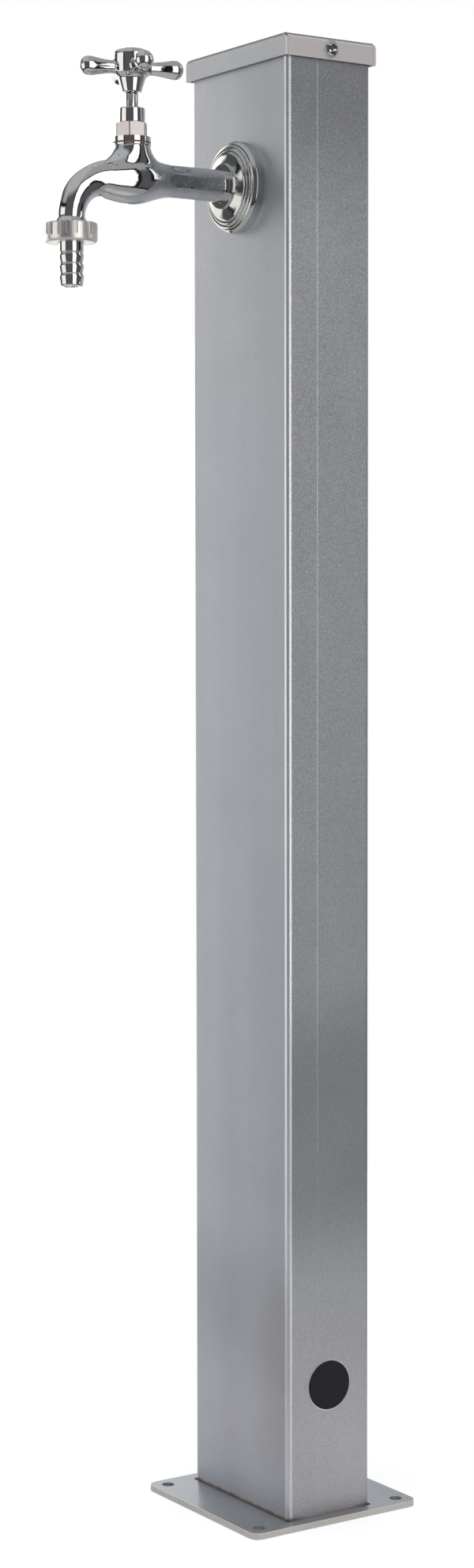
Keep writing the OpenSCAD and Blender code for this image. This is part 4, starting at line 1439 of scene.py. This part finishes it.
@dataclass
class HoseFitting:
    """The knurled nut and the barbed tail under the spout. Sizes in millimetres."""

    frame: dict[str, Any]
    spout_y: float = SPOUT_Y
    nut_edge: float = 0.22
    tail_r: float = 7.7
    barb_r: float = 7.9
    barb_h: float = 6.4
    barbs: int = 3
    bore_r: float = 4.5
    collar_foot: float = 811.0
    foot: float = 790.2
    flange_r: float = 12.4
    flange_z: float = 819.8

    def build(self) -> None:
        """Builds and dresses every piece."""
        nut = Form.machined(self.frame["nodes"]["hose_nut"], self.nut_edge, 35.0)
        nut.piece("swivel_nut", Body.NUT, "satin_nickel", CAST_NICKEL, ["hose_nut"], 35.0, weighted=True)
        self.tail()
        dress(self.frame, RUBBER, "tail_gasket")

    def tail(self) -> None:
        """Makes the barbed tail with its flange and bore."""
        waist, r, h = self.tail_r - 0.6, self.barb_r, self.barb_h
        outline = [(self.bore_r, self.flange_z + 2.0), (self.flange_r, self.flange_z + 2.0),
                   (self.flange_r, self.flange_z), (self.tail_r, self.flange_z),
                   (self.tail_r, self.collar_foot + 0.5), (waist, self.collar_foot)]
        for i in range(self.barbs):
            z = self.collar_foot - i * h
            outline += [(r * 0.955, z - h * 0.07), (r, z - h * 0.3), (r * 0.985, z - h * 0.5),
                        (r * 0.93, z - h * 0.85)]
            outline += [(waist, z - h)] if i < self.barbs - 1 else []
        outline += [(r * 0.945, self.foot + 1.1), (r * 0.86, self.foot),
                    (self.bore_r + 0.3, self.foot), (self.bore_r, self.foot + 0.3)]
        form = Form()
        form.turned(eased(outline, 0.35, 3, True), 96, True, (0.0, self.spout_y))
        form.piece("barbed_tail", Body.TAIL, "chrome", TURNED_CHROME, ["hose_tail"], 50.0)


@dataclass
class Plumbing:
    """The valve and the supply fittings inside, which stay as their solids."""

    frame: dict[str, Any]
    brass: tuple[str, ...] = ("jumper_valve", "valve_washer_nut", "wall_elbow", "elbow_locknut",
                              "riser_top_nut", "riser_top_olive", "riser_foot_nut", "riser_foot_olive",
                              "inlet_connector")
    rubber: tuple[str, ...] = ("valve_washer", "elbow_washer")

    def build(self) -> None:
        """Dresses every solid."""
        dress(self.frame, BRASS, *self.brass)
        dress(self.frame, RUBBER, *self.rubber)
        dress(self.frame, PACKING, "gland_packing")
        dress(self.frame, INNER_STEEL, "riser_pipe", "riser_brackets")


@dataclass(frozen=True)
class LightBox:
    """A white panel of the room in its black frame, as angles seen from the fountain, in degrees."""

    start: float
    end: float
    foot: float
    top: float
    bright: float
    frame_w: float = 7.0
    frame_h: float = 6.0

    def inside(self, side: Signal, height: Signal) -> Signal:
        """The light that the panel gives."""
        return side.band(self.start, self.end, 3.0) * height.band(self.foot, self.top, 3.0) * self.bright

    def framed(self, side: Signal, height: Signal) -> Signal:
        """Where the panel and its frame are."""
        return (side.band(self.start - self.frame_w, self.end + self.frame_w, 3.0)
                * height.band(self.foot - self.frame_h, self.top + self.frame_h, 4.0))


@dataclass
class Studio:
    """The floor, the room's light and the camera. Sizes in metres and degrees."""

    eye: tuple[float, float, float] = (1.5301, -1.0548, 0.5897)
    yaw: float = 56.297
    pitch: float = 3.493
    roll: float = -0.11
    lens: float = 65.11
    turn: float = 33.7
    floor_r: float = 1.1
    lamp_power: float = 38.0
    warm: Colour = (1.03, 1.0, 0.955)
    cool: Colour = (0.95, 1.0, 1.05)
    sweep_near: float = 0.48
    sweep_far: float = 0.72
    sweep_edge: float = 0.36
    floor_tone: float = 0.92
    floor_glow: float = 1.2
    walls: float = 0.10
    far_wall: float = 0.36
    left_wall: float = 0.4
    ceiling: float = 0.38
    ceiling_left: float = 0.12
    deep_floor: float = 0.03
    frame_depth: float = 0.92
    boxes: tuple[LightBox, ...] = (LightBox(-93.0, -49.0, -40.0, 18.0, 1.1),
                                   LightBox(18.0, 54.0, -40.0, 42.0, 1.4),
                                   LightBox(89.0, 107.0, 3.0, 40.0, 1.25))

    def build(self) -> None:
        """Builds the studio."""
        self.camera()
        self.floor()
        self.room()
        self.lamp()

    def camera(self) -> None:
        """Sets the camera where the photograph was taken from."""
        yaw, pitch, roll = (math.radians(a) for a in (self.yaw, self.pitch, self.roll))
        level = math.cos(pitch)
        ahead = Vector((-math.sin(yaw) * level, math.cos(yaw) * level, -math.sin(pitch)))
        right = Vector((math.cos(yaw), math.sin(yaw), 0.0))
        up = right.cross(ahead)
        across = right * math.cos(roll) + up * math.sin(roll)
        rise = up * math.cos(roll) - right * math.sin(roll)
        data = bpy.data.cameras.new("photo_camera")
        data.lens, data.sensor_width = self.lens, 36.0
        data.clip_start, data.clip_end = 0.01, 50.0
        camera = bpy.data.objects.new("photo_camera", data)
        turn = Matrix((across, rise, -ahead)).transposed().to_4x4()
        camera.matrix_world = Matrix.Translation(self.eye) @ turn
        bpy.context.scene.collection.objects.link(camera)
        bpy.context.scene.camera = camera

    def pale_floor(self) -> bpy.types.Material:
        """Makes the floor's material, which fades to white and keeps the shadow.

        Returns:
            The material.
        """
        material = bpy.data.materials.new("pale_floor")
        material.use_nodes = True
        graph = Graph(material.node_tree)
        x, y, _ = graph.parts(graph.place())
        reach = graph.reach(x, y)
        away = reach.rise(150.0, 700.0)
        seen = Signal(graph, graph.node("ShaderNodeLightPath").outputs["Is Camera Ray"])
        # the sheet is paler behind the fountain than in front of it
        behind = (x * 0.56 + y * 0.83).rise(-150.0, 450.0)
        close = reach.rise(620.0, 180.0) * (self.sweep_far - self.sweep_edge) + self.sweep_edge
        level = behind * (close - self.sweep_near) + self.sweep_near
        lit = graph.node("ShaderNodeBsdfDiffuse", None, {"Color": (self.floor_tone,) * 3})
        dim = graph.node("ShaderNodeBsdfDiffuse", None, {"Color": graph.shaded((1.0, 1.0, 1.0), level)})
        white = graph.node("ShaderNodeEmission", None, {"Color": (1.0, 1.0, 1.0),
                                                        "Strength": self.floor_glow})
        # under the plate it stays dark, so that the floor holes do
        open_floor = abs(x).most(abs(y)).rise(62.0, 64.0)
        shown = graph.node("ShaderNodeMixShader", None, {0: (0.55 + away * 0.45) * open_floor})
        graph.feed(shown.inputs[1], Signal(graph, lit.outputs[0]))
        graph.feed(shown.inputs[2], Signal(graph, white.outputs[0]))
        both = graph.node("ShaderNodeMixShader", None, {0: seen})
        graph.feed(both.inputs[1], Signal(graph, dim.outputs[0]))
        graph.feed(both.inputs[2], Signal(graph, shown.outputs[0]))
        graph.node("ShaderNodeOutputMaterial", None, {0: Signal(graph, both.outputs[0])})
        return material

    def floor(self) -> None:
        """Lays a pale floor that keeps the fountain's shadow and fades to white."""
        bm = bmesh.new()
        bmesh.ops.create_circle(bm, cap_ends=True, segments=96, radius=self.floor_r)
        bmesh.ops.translate(bm, vec=(0, 0, -0.0002), verts=bm.verts)
        mesh = bpy.data.meshes.new("floor")
        bm.to_mesh(mesh)
        bm.free()
        mesh.materials.append(self.pale_floor())
        floor = bpy.data.objects.new("floor", mesh)
        bpy.context.scene.collection.objects.link(floor)

    def room(self) -> None:
        """Lights the room: white boxes, darker walls between them and a grey ceiling."""
        world = bpy.data.worlds.new("studio")
        world.use_nodes = True
        graph = Graph(world.node_tree)
        x, y, z = graph.parts(Signal(graph, graph.node("ShaderNodeTexCoord").outputs["Generated"]))
        c, s = math.cos(math.radians(self.turn)), math.sin(math.radians(self.turn))
        side = graph.maths("ARCTAN2", x * s + y * c, x * c - y * s) * math.degrees(1.0)
        height = graph.maths("ARCSINE", z) * math.degrees(1.0)
        # a bright wall behind the fountain, and the white panels, each in its black frame
        light: Value = side.rise(-118, -122) * height.rise(30, 20) * (1.15 + height.rise(-4, 22) * 1.1)
        frame: Value = 0.0
        for box in self.boxes:
            light = box.inside(side, height).most(light)
            frame = box.framed(side, height).most(frame)
        left_wall = side.band(-91, -49, 8) * height.rise(22, 28) * self.left_wall
        walls = (self.walls + side.rise(108, 128) * self.far_wall).most(left_wall)
        overhead = height.rise(30, 48)
        ceiling = self.ceiling + side.band(-180, 10, 30) * self.ceiling_left
        level = (walls * (1.0 - overhead) + ceiling * overhead) * (1.0 - frame * self.frame_depth)
        deep = height.rise(-26, -34)
        level = level.most(light) * (1.0 - deep) + deep * self.deep_floor
        tint = graph.mix(level.rise(0.2, 1.0), self.cool, self.warm)
        seen = Signal(graph, graph.node("ShaderNodeLightPath").outputs["Is Camera Ray"])
        colour = graph.mix(seen, graph.shaded(tint, level), (1.0, 1.0, 1.0))
        sky = graph.node("ShaderNodeBackground", None, {"Color": colour, "Strength": 1.0})
        graph.node("ShaderNodeOutputWorld", None, {0: Signal(graph, sky.outputs[0])})
        bpy.context.scene.world = world

    def lamp(self) -> None:
        """Hangs a wide soft lamp over the fountain, which metal doesn't mirror."""
        data = bpy.data.lights.new("soft_lamp", "AREA")
        data.shape, data.size, data.energy = "SQUARE", 2.5, self.lamp_power
        lamp = bpy.data.objects.new("soft_lamp", data)
        lamp.location = (0.2, -0.2, 2.3)
        lamp.visible_glossy = False
        bpy.context.scene.collection.objects.link(lamp)


def main() -> None:
    """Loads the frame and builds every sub-assembly on it."""
    logging.basicConfig(level=logging.INFO, format="%(name)s: %(message)s")
    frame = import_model()
    bpy.context.scene.view_settings.view_transform = "Standard"
    for assembly in (Studio(), Post(frame), Tap(frame), Handle(frame), HoseFitting(frame), Plumbing(frame)):
        assembly.build()
        LOG.info("built %s", type(assembly).__name__)


if __name__ == "__main__":
    main()
